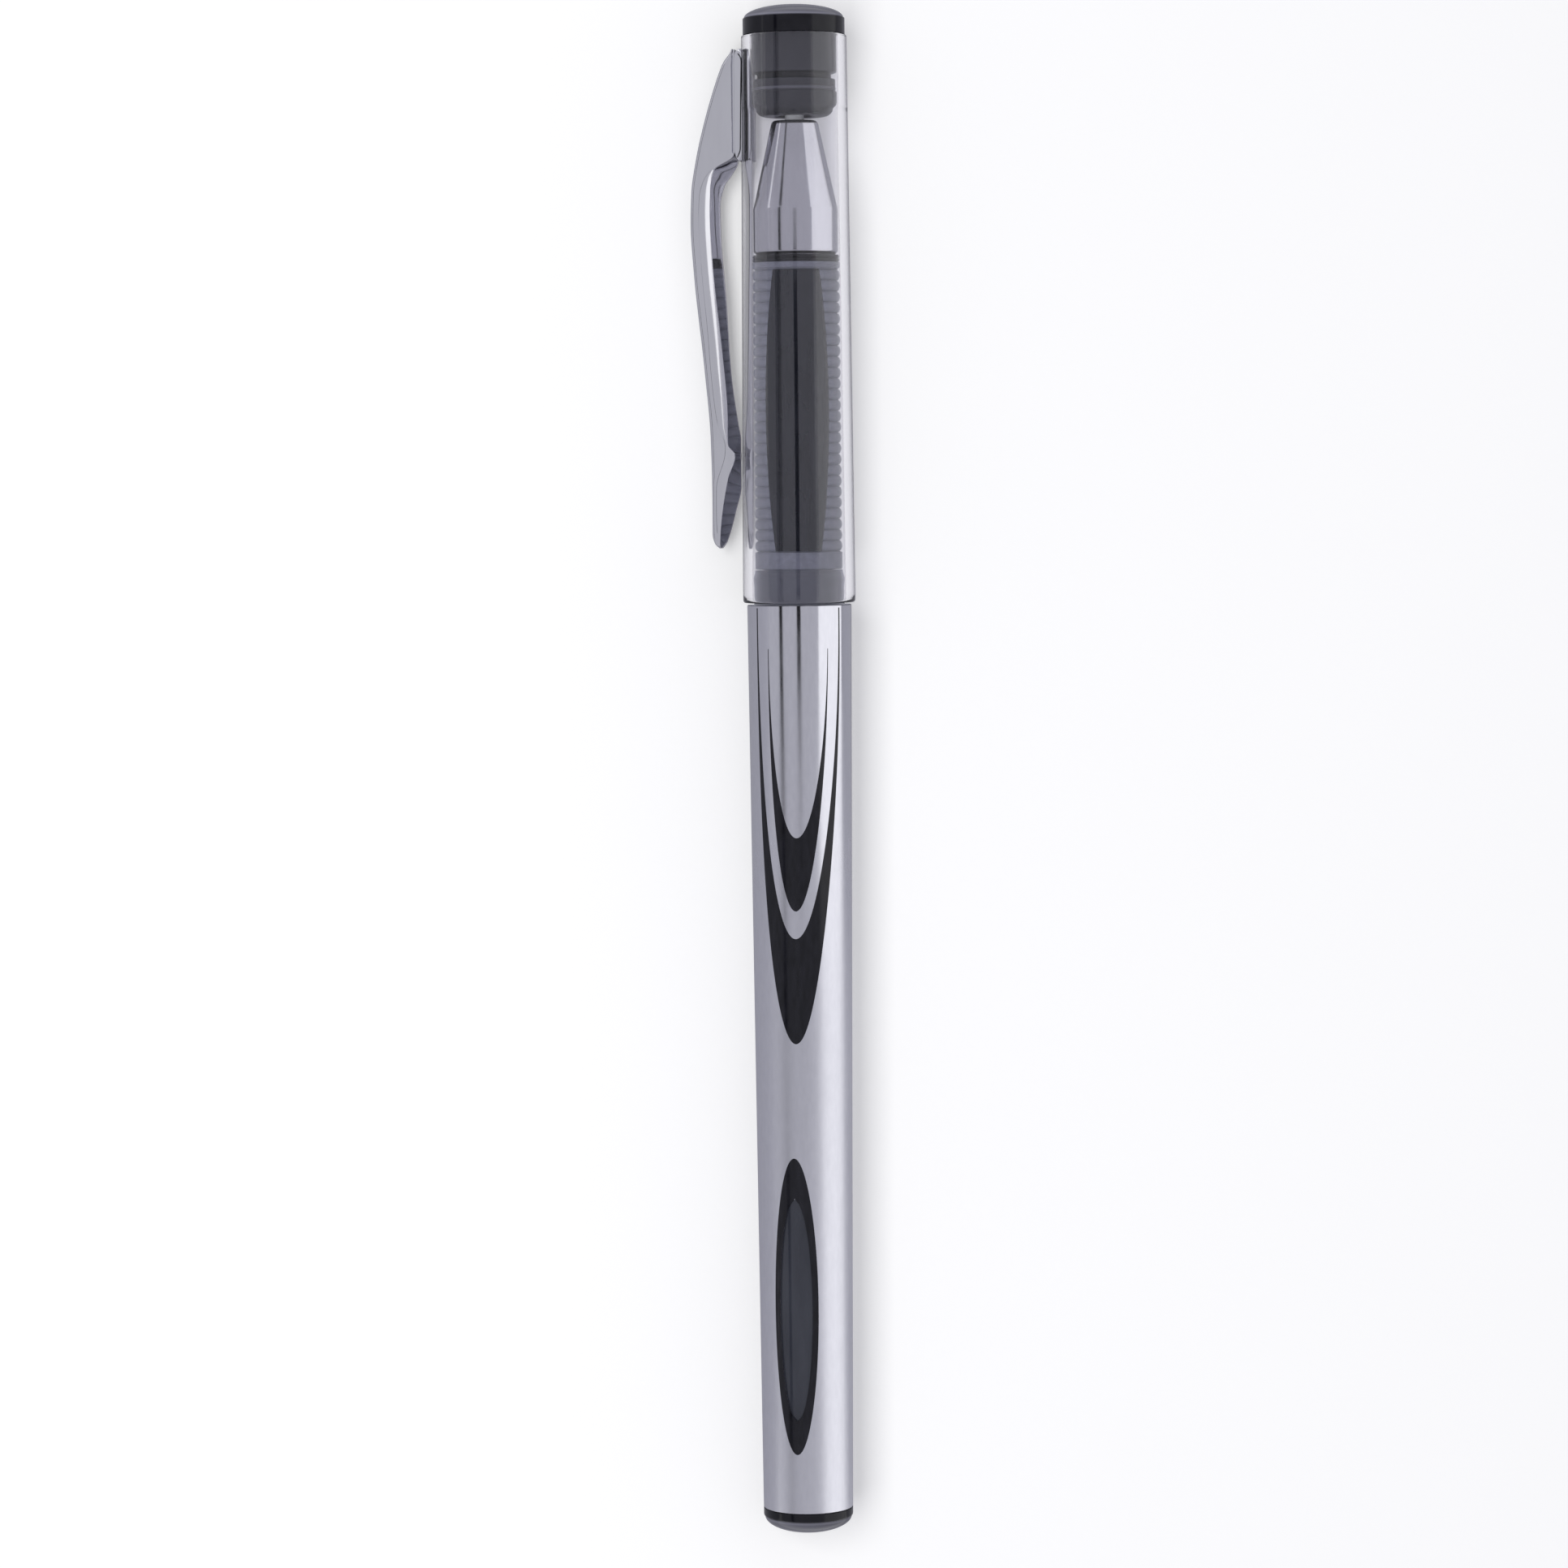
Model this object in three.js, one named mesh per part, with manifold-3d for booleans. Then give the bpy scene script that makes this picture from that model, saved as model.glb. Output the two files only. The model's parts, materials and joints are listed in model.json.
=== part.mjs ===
// Capped gel pen, lying on a table on its cap's lip and its clip. Millimetres, +Z up.
//
// Every piece is drawn in the pen's own frame: the axis is X, station 0 is the tip of the rear
// dome, stations rise towards the cap's end, and the clip points along +Y. A station is a place
// along the axis. One group then rolls the whole pen about its axis until the clip touches the
// table, and sets the middle of its footprint at the origin.

import * as THREE from "three";
import * as BufferGeometryUtils from "three/addons/utils/BufferGeometryUtils.js";
import Module from "manifold-3d";

const wasm = await Module();
wasm.setup();

// ---- Driving dimensions ----

const SEGMENTS = 32; // facets round the casings
const REFILL_SEGMENTS = 20; // facets round the refill's pieces
const ARC_STEPS = 5; // steps in each quarter-round of a turned profile

// Gaps between neighbouring pieces
const SEAT_GAP = 0.05; // end face against end face
const FIT_GAP = 0.05; // radial, between pieces that don't move
const FILM_GAP = 0.03; // radial, between the barrel and its film
const RUNNING_GAP = 0.08; // radial, between pieces that turn or slide
const SNAP_GAP = 0.1; // radial, between the snap ring and the cap's mouth
const NOSE_CAP_GAP = 0.11; // radial, between the nose's collar and the narrow end of the cap's bore
const STEM_GAP = 0.16; // radial, between the cap's top bore and the plug's stem
const SLOT_GAP = 0.15; // round the clip's tongue
const CLIP_GAP = 0.2; // between the cap's wall and what lies along it
const LIP_GAP = 0.4; // between the cap's lip and the barrel's shoulder
const SEAL_GAP = 0.15; // between the ball and the cap's seal
const STEM_NOSE_GAP = 0.4; // between the plug's stem and the nose
const TAIL_GAP = 4.25; // between the end plug's stem and the refill
const FLANGE_GAP = 0.65; // between the refill's flange and the nose's thread

// Barrel
const BARREL_LENGTH = 89;
const BARREL_TAPER = 0.68; // the radius lost from the shoulder to the rear end
const BARREL_SETBACK = 0.55; // radial, of the barrel's shoulder inside the cap's lip
const BARREL_WALL = 0.95;
const BARREL_THROAT_LENGTH = 4; // where the bore narrows to the neck's
const COLLAR_LENGTH = 3.65; // smooth collar between shoulder and grip, which the cap snaps over
const SNAP_RISE = 0.24; // of the snap ring above the grip's ribs
const SNAP_HEIGHT = 0.1; // of the snap ring above the collar
const SNAP_SETBACK = 2.8; // from the shoulder to the crest of the snap ring
const SNAP_HALF_LENGTH = 0.5;
const NECK_WALL = 0.55;
const FILM_THICKNESS = 0.12;

// Window in the film, over the refill
const WINDOW_CENTRE = 20.2; // from the barrel's rear end
const WINDOW_HALF_LENGTH = 10.95;
const WINDOW_HALF_WIDTH = 1.7;
const WINDOW_ANGLE = THREE.MathUtils.degToRad(85); // round the axis from the clip
const WINDOW_STEPS = 32;

// Domed plugs
const DOME_LAND_RADIUS = 0.9; // flat spot in the middle of each dome
const DOME_EDGE_DROP = 0.12; // how far a dome's edge lies inside its rim
const REAR_DOME_HEIGHT = 1.6;
const REAR_RIM_HEIGHT = 0.85;
const REAR_STEM_LENGTH = 5.5;
const STEM_CHAMFER = 0.4; // of the rear plug's stem

// Grip
const GRIP_LENGTH = 29.8;
const GRIP_WALL = 0.6; // to the bottom of the grooves
const GRIP_PLAIN_LENGTH = 1.7; // smooth stretch at the rear
const RIB_PITCH = 1.05;
const RIB_HEIGHT = 0.2;
const GRIP_LIP_LENGTH = 0.55; // plain ring at the front
const GRIP_LIP_GROOVE = 0.2; // groove behind that ring
const PANEL_COUNT = 2;
const PANEL_ANGLE = THREE.MathUtils.degToRad(98); // round the axis from the clip
const PANEL_END_HALF_ANGLE = THREE.MathUtils.degToRad(30);
const PANEL_MIDDLE_HALF_ANGLE = THREE.MathUtils.degToRad(43);

// Nose
const WASHER_THICKNESS = 0.65;
const NOSE_COLLAR_LENGTH = 4.6;
const NOSE_CONE_LENGTH = 8.4;
const NOSE_FRONT_WALL = 1.27;
const NOSE_EDGE = 0.25; // rounding at the front edge
const NOSE_STEP = 0.15; // how far the nose's collar lies inside the grip's ribs
const NOSE_THREAD_LENGTH = 6;
const NOSE_THREAD_WALL = 0.45;
const NOSE_LAND_LENGTH = 4.5; // the front stretch of bore that guides the refill's nozzle

// Refill
const REFILL_RADIUS = 2.7;
const REFILL_WALL = 0.45;
const HOLDER_PLUG_LENGTH = 6;
const HOLDER_FLANGE_LENGTH = 0.8;
const HOLDER_TAPER_SETBACK = 0.75; // from the start of the nose's cone back to the holder's taper
const HOLDER_BORE_RADIUS = 0.62;
const NOZZLE_WALL = 0.31;
const NOZZLE_REACH = 0.8; // of the holder past the nose
const FOLLOWER_LENGTH = 3.4;
const FOLLOWER_SETBACK = 1.5; // from the tube's rear end

// Writing tip
const TIP_SHANK_LENGTH = 4.5;
const TIP_FLANGE_LENGTH = 0.35;
const TIP_CONE_LENGTH = 1.85;
const TIP_CONE_RADIUS = 0.8;
const TIP_MOUTH_WALL = 0.1;
const TIP_BORE_RADIUS = 0.4;
const BALL_RADIUS = 0.35;
const BALL_PLAY = 0.03;
const BALL_REACH = 0.25; // how far the ball stands out of the tip
const SPRING_WIRE_RADIUS = 0.06;
const SPRING_PITCH = 0.52;
const SPRING_TURNS = 8;
const SPRING_STEPS_PER_TURN = 10;

// Cap
const CAP_WALL = 0.9; // at the mouth
const CAP_TOP_WALL = 0.82;
const CAP_LIP = 0.45; // rounding at the mouth
const CAP_TOP_EDGE = 0.15;
const CAP_STEP = 0.08; // the top bore is wider than the long one by this much
const PLUG_FLANGE_HEIGHT = 1.65;
const PLUG_DOME_HEIGHT = 1.3;
const PLUG_INSET = 0.16; // how far the flange lies inside the cap's top edge
const PLUG_STEM_LENGTH = 7.9;
const PLUG_STEM_ROUND = 0.85; // of the stem's lower edge
const CAP_STEP_RISE = 0.4; // from the stem's lower end up to the step in the cap's bore
const PLUG_GROOVE_DEPTH = 0.25;
const PLUG_GROOVE_LENGTH = 0.9;
const PLUG_GROOVE_SETBACK = 3.5; // from the cap's top edge
const RECESS_GAP = 0.5; // radial, between the plug's recess and the refill's nozzle
const SEAL_INSET = 0.3; // radial, of the seal inside the recess
const SEAL_THICKNESS = 1.3;

// Clip: heights are above the cap's wall, setbacks are from the clip's head end
const CLIP_HEAD_SETBACK = 1.25; // from the cap's top edge to the clip's head end
const CLIP_FOOT_SETBACK = 5.35; // from the cap's mouth to the clip's foot end
const CLIP_WIDTH = 3;
const CLIP_BEVEL = 0.3;
const CLIP_SPLIT = 0.12; // between the clip and its base
const CLIP_BASE_LENGTH = 10.8;
const CLIP_BASE_THICKNESS = 0.7;
const CLIP_BASE_WIDTH = 2.6;
const CLIP_HEAD_EDGE = 0.55; // blunt end of the head
const CLIP_CREST_SETBACK = 16.2;
const CLIP_CREST_HEIGHT = 4.95;
const CLIP_ARM_THICKNESS = 2.7;
const CLIP_FOOT_HEIGHT = 2.95;
const CLIP_FOOT_ROUND = 1.3;
const CLIP_FOOT_RISE = 0.4; // of the foot's end above the middle of its thickness
const CLIP_PAD_LENGTH = 4.4;
const CLIP_TOE_LENGTH = 5.9; // from the pad to the foot's end
const TONGUE_LENGTH = 7.2;
const TONGUE_WIDTH = 2.2;

// ---- Radii, from the refill outwards ----

const refillBore = REFILL_RADIUS - REFILL_WALL;
const neckBore = REFILL_RADIUS + 2 * RUNNING_GAP;
const neckRadius = neckBore + NECK_WALL;
const gripBore = neckRadius + FIT_GAP;
const grooveRadius = gripBore + GRIP_WALL;
const crestRadius = grooveRadius + RIB_HEIGHT;
const snapRadius = crestRadius + SNAP_RISE;
const collarRadius = snapRadius - SNAP_HEIGHT;
const noseRadius = crestRadius - NOSE_STEP;
const noseThreadRadius = neckBore - RUNNING_GAP;
const noseThreadBore = noseThreadRadius - NOSE_THREAD_WALL;
const nozzleRadius = HOLDER_BORE_RADIUS + NOZZLE_WALL;
const noseLandRadius = nozzleRadius + RUNNING_GAP;
const noseFrontRadius = noseLandRadius + NOSE_FRONT_WALL;
const holderBodyRadius = noseThreadBore - RUNNING_GAP;
const capBoreMouth = snapRadius + SNAP_GAP;
const capBoreNose = noseRadius + NOSE_CAP_GAP;
const capBoreTop = capBoreNose + CAP_STEP;
const capMouthRadius = capBoreMouth + CAP_WALL;
const capTopRadius = capBoreTop + CAP_TOP_WALL;
const plugRadius = capTopRadius - PLUG_INSET;
const plugStemRadius = capBoreTop - STEM_GAP;
const recessRadius = nozzleRadius + RECESS_GAP;
const shoulderRadius = capMouthRadius - BARREL_SETBACK;
const rearRadius = shoulderRadius - BARREL_TAPER;

// ---- Stations, from the tip of the rear dome to the cap's end ----

const barrelRear = REAR_DOME_HEIGHT + REAR_RIM_HEIGHT + SEAT_GAP;
const shoulder = barrelRear + BARREL_LENGTH;
const gripRear = shoulder + COLLAR_LENGTH + SEAT_GAP;
const gripFront = gripRear + GRIP_LENGTH;
const washerRear = gripFront + SEAT_GAP;
const noseRear = washerRear + WASHER_THICKNESS + SEAT_GAP;
const noseThreadRear = noseRear - NOSE_THREAD_LENGTH;
const noseConeStart = noseRear + NOSE_COLLAR_LENGTH;
const noseFront = noseConeStart + NOSE_CONE_LENGTH;
const noseLandRear = noseFront - NOSE_LAND_LENGTH;
const flangeFront = noseThreadRear - FLANGE_GAP;
const flangeRear = flangeFront - HOLDER_FLANGE_LENGTH;
const refillFront = flangeRear - SEAT_GAP;
const refillRear = barrelRear + REAR_STEM_LENGTH + TAIL_GAP;
const followerRear = refillRear + FOLLOWER_SETBACK;
const followerFront = followerRear + FOLLOWER_LENGTH;
const holderRear = refillFront - HOLDER_PLUG_LENGTH;
const nozzleFront = noseFront + NOZZLE_REACH;
const tipFlangeRear = nozzleFront + SEAT_GAP;
const tipConeStart = tipFlangeRear + TIP_FLANGE_LENGTH;
const tipMouth = tipConeStart + TIP_CONE_LENGTH;
const ballCentre = tipMouth + BALL_REACH - BALL_RADIUS;
const ballFront = ballCentre + BALL_RADIUS;
const sealFace = ballFront + SEAL_GAP;
const sealBack = sealFace + SEAL_THICKNESS;
const plugStemEnd = noseFront + STEM_NOSE_GAP;
const plugBase = plugStemEnd + PLUG_STEM_LENGTH;
const capMouth = shoulder + LIP_GAP;
const capTop = plugBase - SEAT_GAP;
const capStep = plugStemEnd + CAP_STEP_RISE;
const clipHead = capTop - CLIP_HEAD_SETBACK;
const clipLength = clipHead - capMouth - CLIP_FOOT_SETBACK;
const capTaper = Math.atan((capMouthRadius - capTopRadius) / (capTop - capMouth));

// ---- Materials ----

const clearPlastic = (color, roughness) =>
  new THREE.MeshStandardMaterial({ color, roughness, metalness: 0, transparent: true, opacity: 0.35 });
const plastic = (color, roughness) => new THREE.MeshStandardMaterial({ color, roughness, metalness: 0 });
const metal = (color, roughness) => new THREE.MeshStandardMaterial({ color, roughness, metalness: 1 });

// ---- Shape helpers ----

// A solid of revolution about X from [station, radius] corners. A profile that leaves the axis
// comes back to it, and any other is closed on its first corner.
function turned(profile, segments = SEGMENTS) {
  const points = profile.map(([station, radius]) => new THREE.Vector2(radius, station));
  if (profile[0][1] > 0) {
    points.push(points[0].clone());
  }
  if (THREE.ShapeUtils.area(points) < 0) {
    points.reverse();
  }
  return new THREE.LatheGeometry(points, segments).rotateZ(-Math.PI / 2);
}

// Corners of a dome from the rim to its flat land. Direction -1 points to lower stations.
function dome(rimStation, rimRadius, height, direction) {
  const corners = [];
  for (let step = 0; step <= ARC_STEPS; step += 1) {
    const angle = (Math.PI / 2) * (step / ARC_STEPS);
    const radius = DOME_LAND_RADIUS + (rimRadius - DOME_LAND_RADIUS) * Math.cos(angle);
    corners.push([rimStation + direction * height * Math.sin(angle), radius]);
  }
  corners.push([rimStation + direction * height, 0]);
  return corners;
}

function toSolid(geometry) {
  const bare = geometry.clone();
  bare.deleteAttribute("normal");
  bare.deleteAttribute("uv");
  const merged = BufferGeometryUtils.mergeVertices(bare, 1e-4);
  const mesh = new wasm.Mesh({
    numProp: 3,
    vertProperties: new Float32Array(merged.attributes.position.array),
    triVerts: new Uint32Array(merged.index.array),
  });
  return new wasm.Manifold(mesh);
}

function toGeometry(solid) {
  const mesh = solid.getMesh();
  const geometry = new THREE.BufferGeometry();
  geometry.setAttribute("position", new THREE.BufferAttribute(new Float32Array(mesh.vertProperties), 3));
  geometry.setIndex(new THREE.BufferAttribute(new Uint32Array(mesh.triVerts), 1));
  geometry.computeVertexNormals();
  return geometry;
}

// Radius of a straight taper at one station
function taperAt(station, startStation, startRadius, endStation, endRadius) {
  return THREE.MathUtils.mapLinear(station, startStation, endStation, startRadius, endRadius);
}

function barrelRadiusAt(station) {
  return taperAt(station, barrelRear, rearRadius, shoulder, shoulderRadius);
}

function capRadiusAt(station) {
  return taperAt(station, capMouth, capMouthRadius, capTop, capTopRadius);
}

// ---- Barrel and what is fixed to it ----

function barrel() {
  const boreFront = shoulder - BARREL_THROAT_LENGTH;
  const snap = shoulder + SNAP_SETBACK;
  return turned([
    [barrelRear, rearRadius],
    [shoulder, shoulderRadius],
    [shoulder, collarRadius],
    [snap - SNAP_HALF_LENGTH, collarRadius],
    [snap, snapRadius],
    [snap + SNAP_HALF_LENGTH, collarRadius - SNAP_HEIGHT],
    [gripRear - SEAT_GAP, collarRadius - SNAP_HEIGHT],
    [gripRear - SEAT_GAP, neckRadius],
    [gripFront, neckRadius],
    [gripFront, neckBore],
    [shoulder, neckBore],
    [boreFront, barrelRadiusAt(boreFront) - BARREL_WALL],
    [barrelRear, rearRadius - BARREL_WALL],
  ]);
}

function barrelFilm() {
  const inner = FILM_GAP;
  const outer = FILM_GAP + FILM_THICKNESS;
  const sleeve = turned([
    [barrelRear, rearRadius + inner],
    [barrelRear, rearRadius + outer],
    [shoulder, shoulderRadius + outer],
    [shoulder, shoulderRadius + inner],
  ]);
  const oval = new THREE.Shape();
  oval.absellipse(0, 0, WINDOW_HALF_LENGTH, WINDOW_HALF_WIDTH, 0, 2 * Math.PI);
  const depth = 2 * shoulderRadius;
  const settings = { depth, bevelEnabled: false, curveSegments: WINDOW_STEPS };
  const cutter = new THREE.ExtrudeGeometry(oval, settings);
  cutter.rotateX(WINDOW_ANGLE - Math.PI / 2);
  cutter.translate(barrelRear + WINDOW_CENTRE, 0, 0);
  return toGeometry(toSolid(sleeve).subtract(toSolid(cutter)));
}

function barrelEndPlug() {
  const rimRadius = rearRadius + FILM_GAP + FILM_THICKNESS;
  const stemRadius = rearRadius - BARREL_WALL - FIT_GAP;
  const rimBack = barrelRear - SEAT_GAP;
  const stemEnd = barrelRear + REAR_STEM_LENGTH;
  return turned([
    [stemEnd, 0],
    [stemEnd, stemRadius - STEM_CHAMFER],
    [stemEnd - STEM_CHAMFER, stemRadius],
    [rimBack, stemRadius],
    [rimBack, rimRadius],
    [REAR_DOME_HEIGHT, rimRadius],
    ...dome(REAR_DOME_HEIGHT, rimRadius - DOME_EDGE_DROP, REAR_DOME_HEIGHT, -1),
  ]);
}

// Half the width of the smooth panel, as an angle round the axis, at one station
function panelHalfAngle(station, start, end) {
  const along = THREE.MathUtils.mapLinear(station, start, end, 0, 1);
  const bulge = 1 - (2 * along - 1) ** 2;
  return THREE.MathUtils.lerp(PANEL_END_HALF_ANGLE, PANEL_MIDDLE_HALF_ANGLE, bulge);
}

// Fills the grooves flush with the ribs inside each smooth panel
function smoothPanels(geometry, start, end) {
  const position = geometry.attributes.position;
  const spacing = (2 * Math.PI) / PANEL_COUNT;
  for (let i = 0; i < position.count; i += 1) {
    const station = position.getX(i);
    const radius = Math.hypot(position.getY(i), position.getZ(i));
    if (station < start || station > end || radius < grooveRadius - FIT_GAP) {
      continue;
    }
    const angle = Math.atan2(position.getZ(i), position.getY(i));
    const turns = (angle - PANEL_ANGLE) / spacing;
    const fromPanel = Math.abs(turns - Math.round(turns)) * spacing;
    if (fromPanel < panelHalfAngle(station, start, end)) {
      const scale = crestRadius / radius;
      position.setY(i, position.getY(i) * scale);
      position.setZ(i, position.getZ(i) * scale);
    }
  }
  return geometry;
}

function gripSleeve() {
  const ribsEnd = gripFront - GRIP_LIP_LENGTH - GRIP_LIP_GROOVE;
  const ribCount = Math.floor((ribsEnd - gripRear - GRIP_PLAIN_LENGTH) / RIB_PITCH);
  const ribsStart = ribsEnd - ribCount * RIB_PITCH;
  const profile = [
    [gripRear, gripBore],
    [gripRear, grooveRadius],
    [gripRear + RIB_HEIGHT, crestRadius],
    [ribsStart - RIB_HEIGHT, crestRadius],
  ];
  for (let rib = 0; rib < ribCount; rib += 1) {
    const valley = ribsStart + rib * RIB_PITCH;
    profile.push([valley, grooveRadius]);
    profile.push([valley + RIB_PITCH / 2, crestRadius]);
  }
  profile.push([ribsEnd, grooveRadius]);
  profile.push([ribsEnd + GRIP_LIP_GROOVE, grooveRadius]);
  profile.push([ribsEnd + GRIP_LIP_GROOVE, crestRadius]);
  profile.push([gripFront, crestRadius]);
  profile.push([gripFront, gripBore]);
  return smoothPanels(turned(profile), ribsStart - RIB_HEIGHT, ribsEnd - RIB_HEIGHT);
}

function noseWasher() {
  const edge = WASHER_THICKNESS / 3;
  const washerFront = washerRear + WASHER_THICKNESS;
  return turned([
    [washerRear, neckBore],
    [washerRear, crestRadius - edge],
    [washerRear + edge, crestRadius],
    [washerFront - edge, crestRadius],
    [washerFront, crestRadius - edge],
    [washerFront, neckBore],
  ]);
}

// ---- Nose and refill ----

function noseCone() {
  return turned([
    [noseThreadRear, noseThreadBore],
    [noseThreadRear, noseThreadRadius],
    [noseRear, noseThreadRadius],
    [noseRear, noseRadius],
    [noseConeStart, noseRadius],
    [noseFront - NOSE_EDGE, noseFrontRadius],
    [noseFront, noseFrontRadius - NOSE_EDGE],
    [noseFront, noseLandRadius],
    [noseLandRear, noseLandRadius],
    [noseConeStart, noseThreadBore],
  ]);
}

function refillTube() {
  return turned(
    [
      [refillRear, refillBore],
      [refillRear, REFILL_RADIUS],
      [refillFront, REFILL_RADIUS],
      [refillFront, refillBore],
    ],
    REFILL_SEGMENTS,
  );
}

function tipHolder() {
  const taperRear = noseConeStart - HOLDER_TAPER_SETBACK;
  const taperFront = noseLandRear - FIT_GAP;
  return turned(
    [
      [holderRear, HOLDER_BORE_RADIUS],
      [holderRear, refillBore - FIT_GAP],
      [flangeRear, refillBore - FIT_GAP],
      [flangeRear, REFILL_RADIUS],
      [flangeFront, REFILL_RADIUS],
      [flangeFront, holderBodyRadius],
      [taperRear, holderBodyRadius],
      [taperFront, nozzleRadius],
      [nozzleFront, nozzleRadius],
      [nozzleFront, HOLDER_BORE_RADIUS],
    ],
    REFILL_SEGMENTS,
  );
}

function writingTip() {
  const shankRadius = HOLDER_BORE_RADIUS - FIT_GAP;
  const shankRear = tipFlangeRear - TIP_SHANK_LENGTH;
  const socketRadius = BALL_RADIUS + BALL_PLAY;
  const mouthRadius = Math.sqrt(socketRadius ** 2 - (tipMouth - ballCentre) ** 2);
  const seat = ballCentre - socketRadius;
  return turned(
    [
      [shankRear, TIP_BORE_RADIUS],
      [shankRear, shankRadius],
      [tipFlangeRear, shankRadius],
      [tipFlangeRear, nozzleRadius - FIT_GAP],
      [tipConeStart, nozzleRadius - FIT_GAP],
      [tipConeStart, TIP_CONE_RADIUS],
      [tipMouth, mouthRadius + TIP_MOUTH_WALL],
      [tipMouth, mouthRadius],
      [ballCentre, socketRadius],
      [seat, socketRadius],
      [seat - BALL_PLAY, TIP_BORE_RADIUS],
    ],
    REFILL_SEGMENTS,
  );
}

function tipBall() {
  return new THREE.SphereGeometry(BALL_RADIUS, 14, 10).translate(ballCentre, 0, 0);
}

class Helix extends THREE.Curve {
  constructor(start, length, radius, turns) {
    super();
    Object.assign(this, { start, length, radius, turns });
  }

  getPoint(t, target = new THREE.Vector3()) {
    const angle = 2 * Math.PI * this.turns * t;
    const across = this.radius * Math.cos(angle);
    const up = this.radius * Math.sin(angle);
    return target.set(this.start + this.length * t, across, up);
  }
}

function tipSpring() {
  const coilRadius = TIP_BORE_RADIUS - RUNNING_GAP - SPRING_WIRE_RADIUS;
  const front = ballCentre - BALL_RADIUS - BALL_PLAY - SPRING_WIRE_RADIUS;
  const wire = new THREE.Shape();
  wire.absarc(0, 0, SPRING_WIRE_RADIUS, 0, 2 * Math.PI);
  const length = SPRING_TURNS * SPRING_PITCH;
  const extrudePath = new Helix(front - length, length, coilRadius, SPRING_TURNS);
  const steps = SPRING_TURNS * SPRING_STEPS_PER_TURN;
  return new THREE.ExtrudeGeometry(wire, { steps, extrudePath, curveSegments: 3 });
}

function inkFollower() {
  const radius = refillBore - RUNNING_GAP;
  return turned(
    [
      [followerRear, 0],
      [followerRear, radius],
      [followerFront, radius],
      [followerFront, 0],
    ],
    REFILL_SEGMENTS,
  );
}

function gelInk() {
  const rear = followerFront + SEAT_GAP;
  const front = holderRear - SEAT_GAP;
  const radius = refillBore - RUNNING_GAP;
  return turned(
    [
      [rear, 0],
      [rear, radius],
      [front, radius],
      [front, 0],
    ],
    REFILL_SEGMENTS,
  );
}

// ---- Cap ----

function tongueSlot() {
  const length = TONGUE_LENGTH + 2 * SLOT_GAP;
  const width = TONGUE_WIDTH + 2 * SLOT_GAP;
  const middle = clipHead - CLIP_BASE_LENGTH / 2;
  return new THREE.BoxGeometry(length, 2 * CAP_WALL, width).translate(middle, capRadiusAt(middle), 0);
}

function capBody() {
  const lipBore = capBoreMouth + CAP_LIP / 3;
  const shell = turned([
    [capMouth, lipBore],
    [capMouth, capMouthRadius - CAP_LIP],
    [capMouth + CAP_LIP * 0.3, capMouthRadius - CAP_LIP * 0.3],
    [capMouth + CAP_LIP, capMouthRadius],
    [capTop - CAP_TOP_EDGE, capTopRadius],
    [capTop, capTopRadius - CAP_TOP_EDGE],
    [capTop, capBoreTop],
    [capStep, capBoreTop],
    [capStep, capBoreNose],
    [capMouth + CAP_LIP, capBoreMouth],
  ]);
  return toGeometry(toSolid(shell).subtract(toSolid(tongueSlot())));
}

function capPlug() {
  const flangeTop = plugBase + PLUG_FLANGE_HEIGHT;
  const grooveFront = capTop - PLUG_GROOVE_SETBACK;
  const grooveRear = grooveFront - PLUG_GROOVE_LENGTH;
  const shoulderCut = PLUG_STEM_ROUND * (1 - Math.SQRT1_2);
  return turned([
    [sealBack + SEAT_GAP, 0],
    [sealBack + SEAT_GAP, recessRadius],
    [plugStemEnd, recessRadius],
    [plugStemEnd, plugStemRadius - PLUG_STEM_ROUND],
    [plugStemEnd + shoulderCut, plugStemRadius - shoulderCut],
    [plugStemEnd + PLUG_STEM_ROUND, plugStemRadius],
    [grooveRear, plugStemRadius],
    [grooveRear, plugStemRadius - PLUG_GROOVE_DEPTH],
    [grooveFront, plugStemRadius - PLUG_GROOVE_DEPTH],
    [grooveFront, plugStemRadius],
    [plugBase, plugStemRadius],
    [plugBase, plugRadius],
    [flangeTop, plugRadius],
    ...dome(flangeTop, plugRadius - DOME_EDGE_DROP, PLUG_DOME_HEIGHT, 1),
  ]);
}

function tipSeal() {
  return turned(
    [
      [sealFace, 0],
      [sealFace, recessRadius - SEAL_INSET],
      [sealBack, recessRadius - SEAL_INSET],
      [sealBack, 0],
    ],
    REFILL_SEGMENTS,
  );
}

// ---- Clip ----

// The base and the clip are drawn lying along the cap's wall: x runs back from the clip's head
// end (so it is negative), y is the height above the wall. This puts them on the tapered cap.
function onCapWall(geometry) {
  geometry.rotateZ(-capTaper);
  return geometry.translate(clipHead, capRadiusAt(clipHead), 0);
}

function clipBase() {
  const middle = -CLIP_BASE_LENGTH / 2;
  const top = CLIP_GAP + CLIP_BASE_THICKNESS;
  const tongueBottom = -CAP_WALL + SLOT_GAP;
  const plate = new THREE.BoxGeometry(CLIP_BASE_LENGTH, CLIP_BASE_THICKNESS, CLIP_BASE_WIDTH);
  plate.translate(middle, top - CLIP_BASE_THICKNESS / 2, 0);
  const tongue = new THREE.BoxGeometry(TONGUE_LENGTH, top - tongueBottom, TONGUE_WIDTH);
  tongue.translate(middle, (top + tongueBottom) / 2, 0);
  return onCapWall(toGeometry(toSolid(plate).add(toSolid(tongue))));
}

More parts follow.
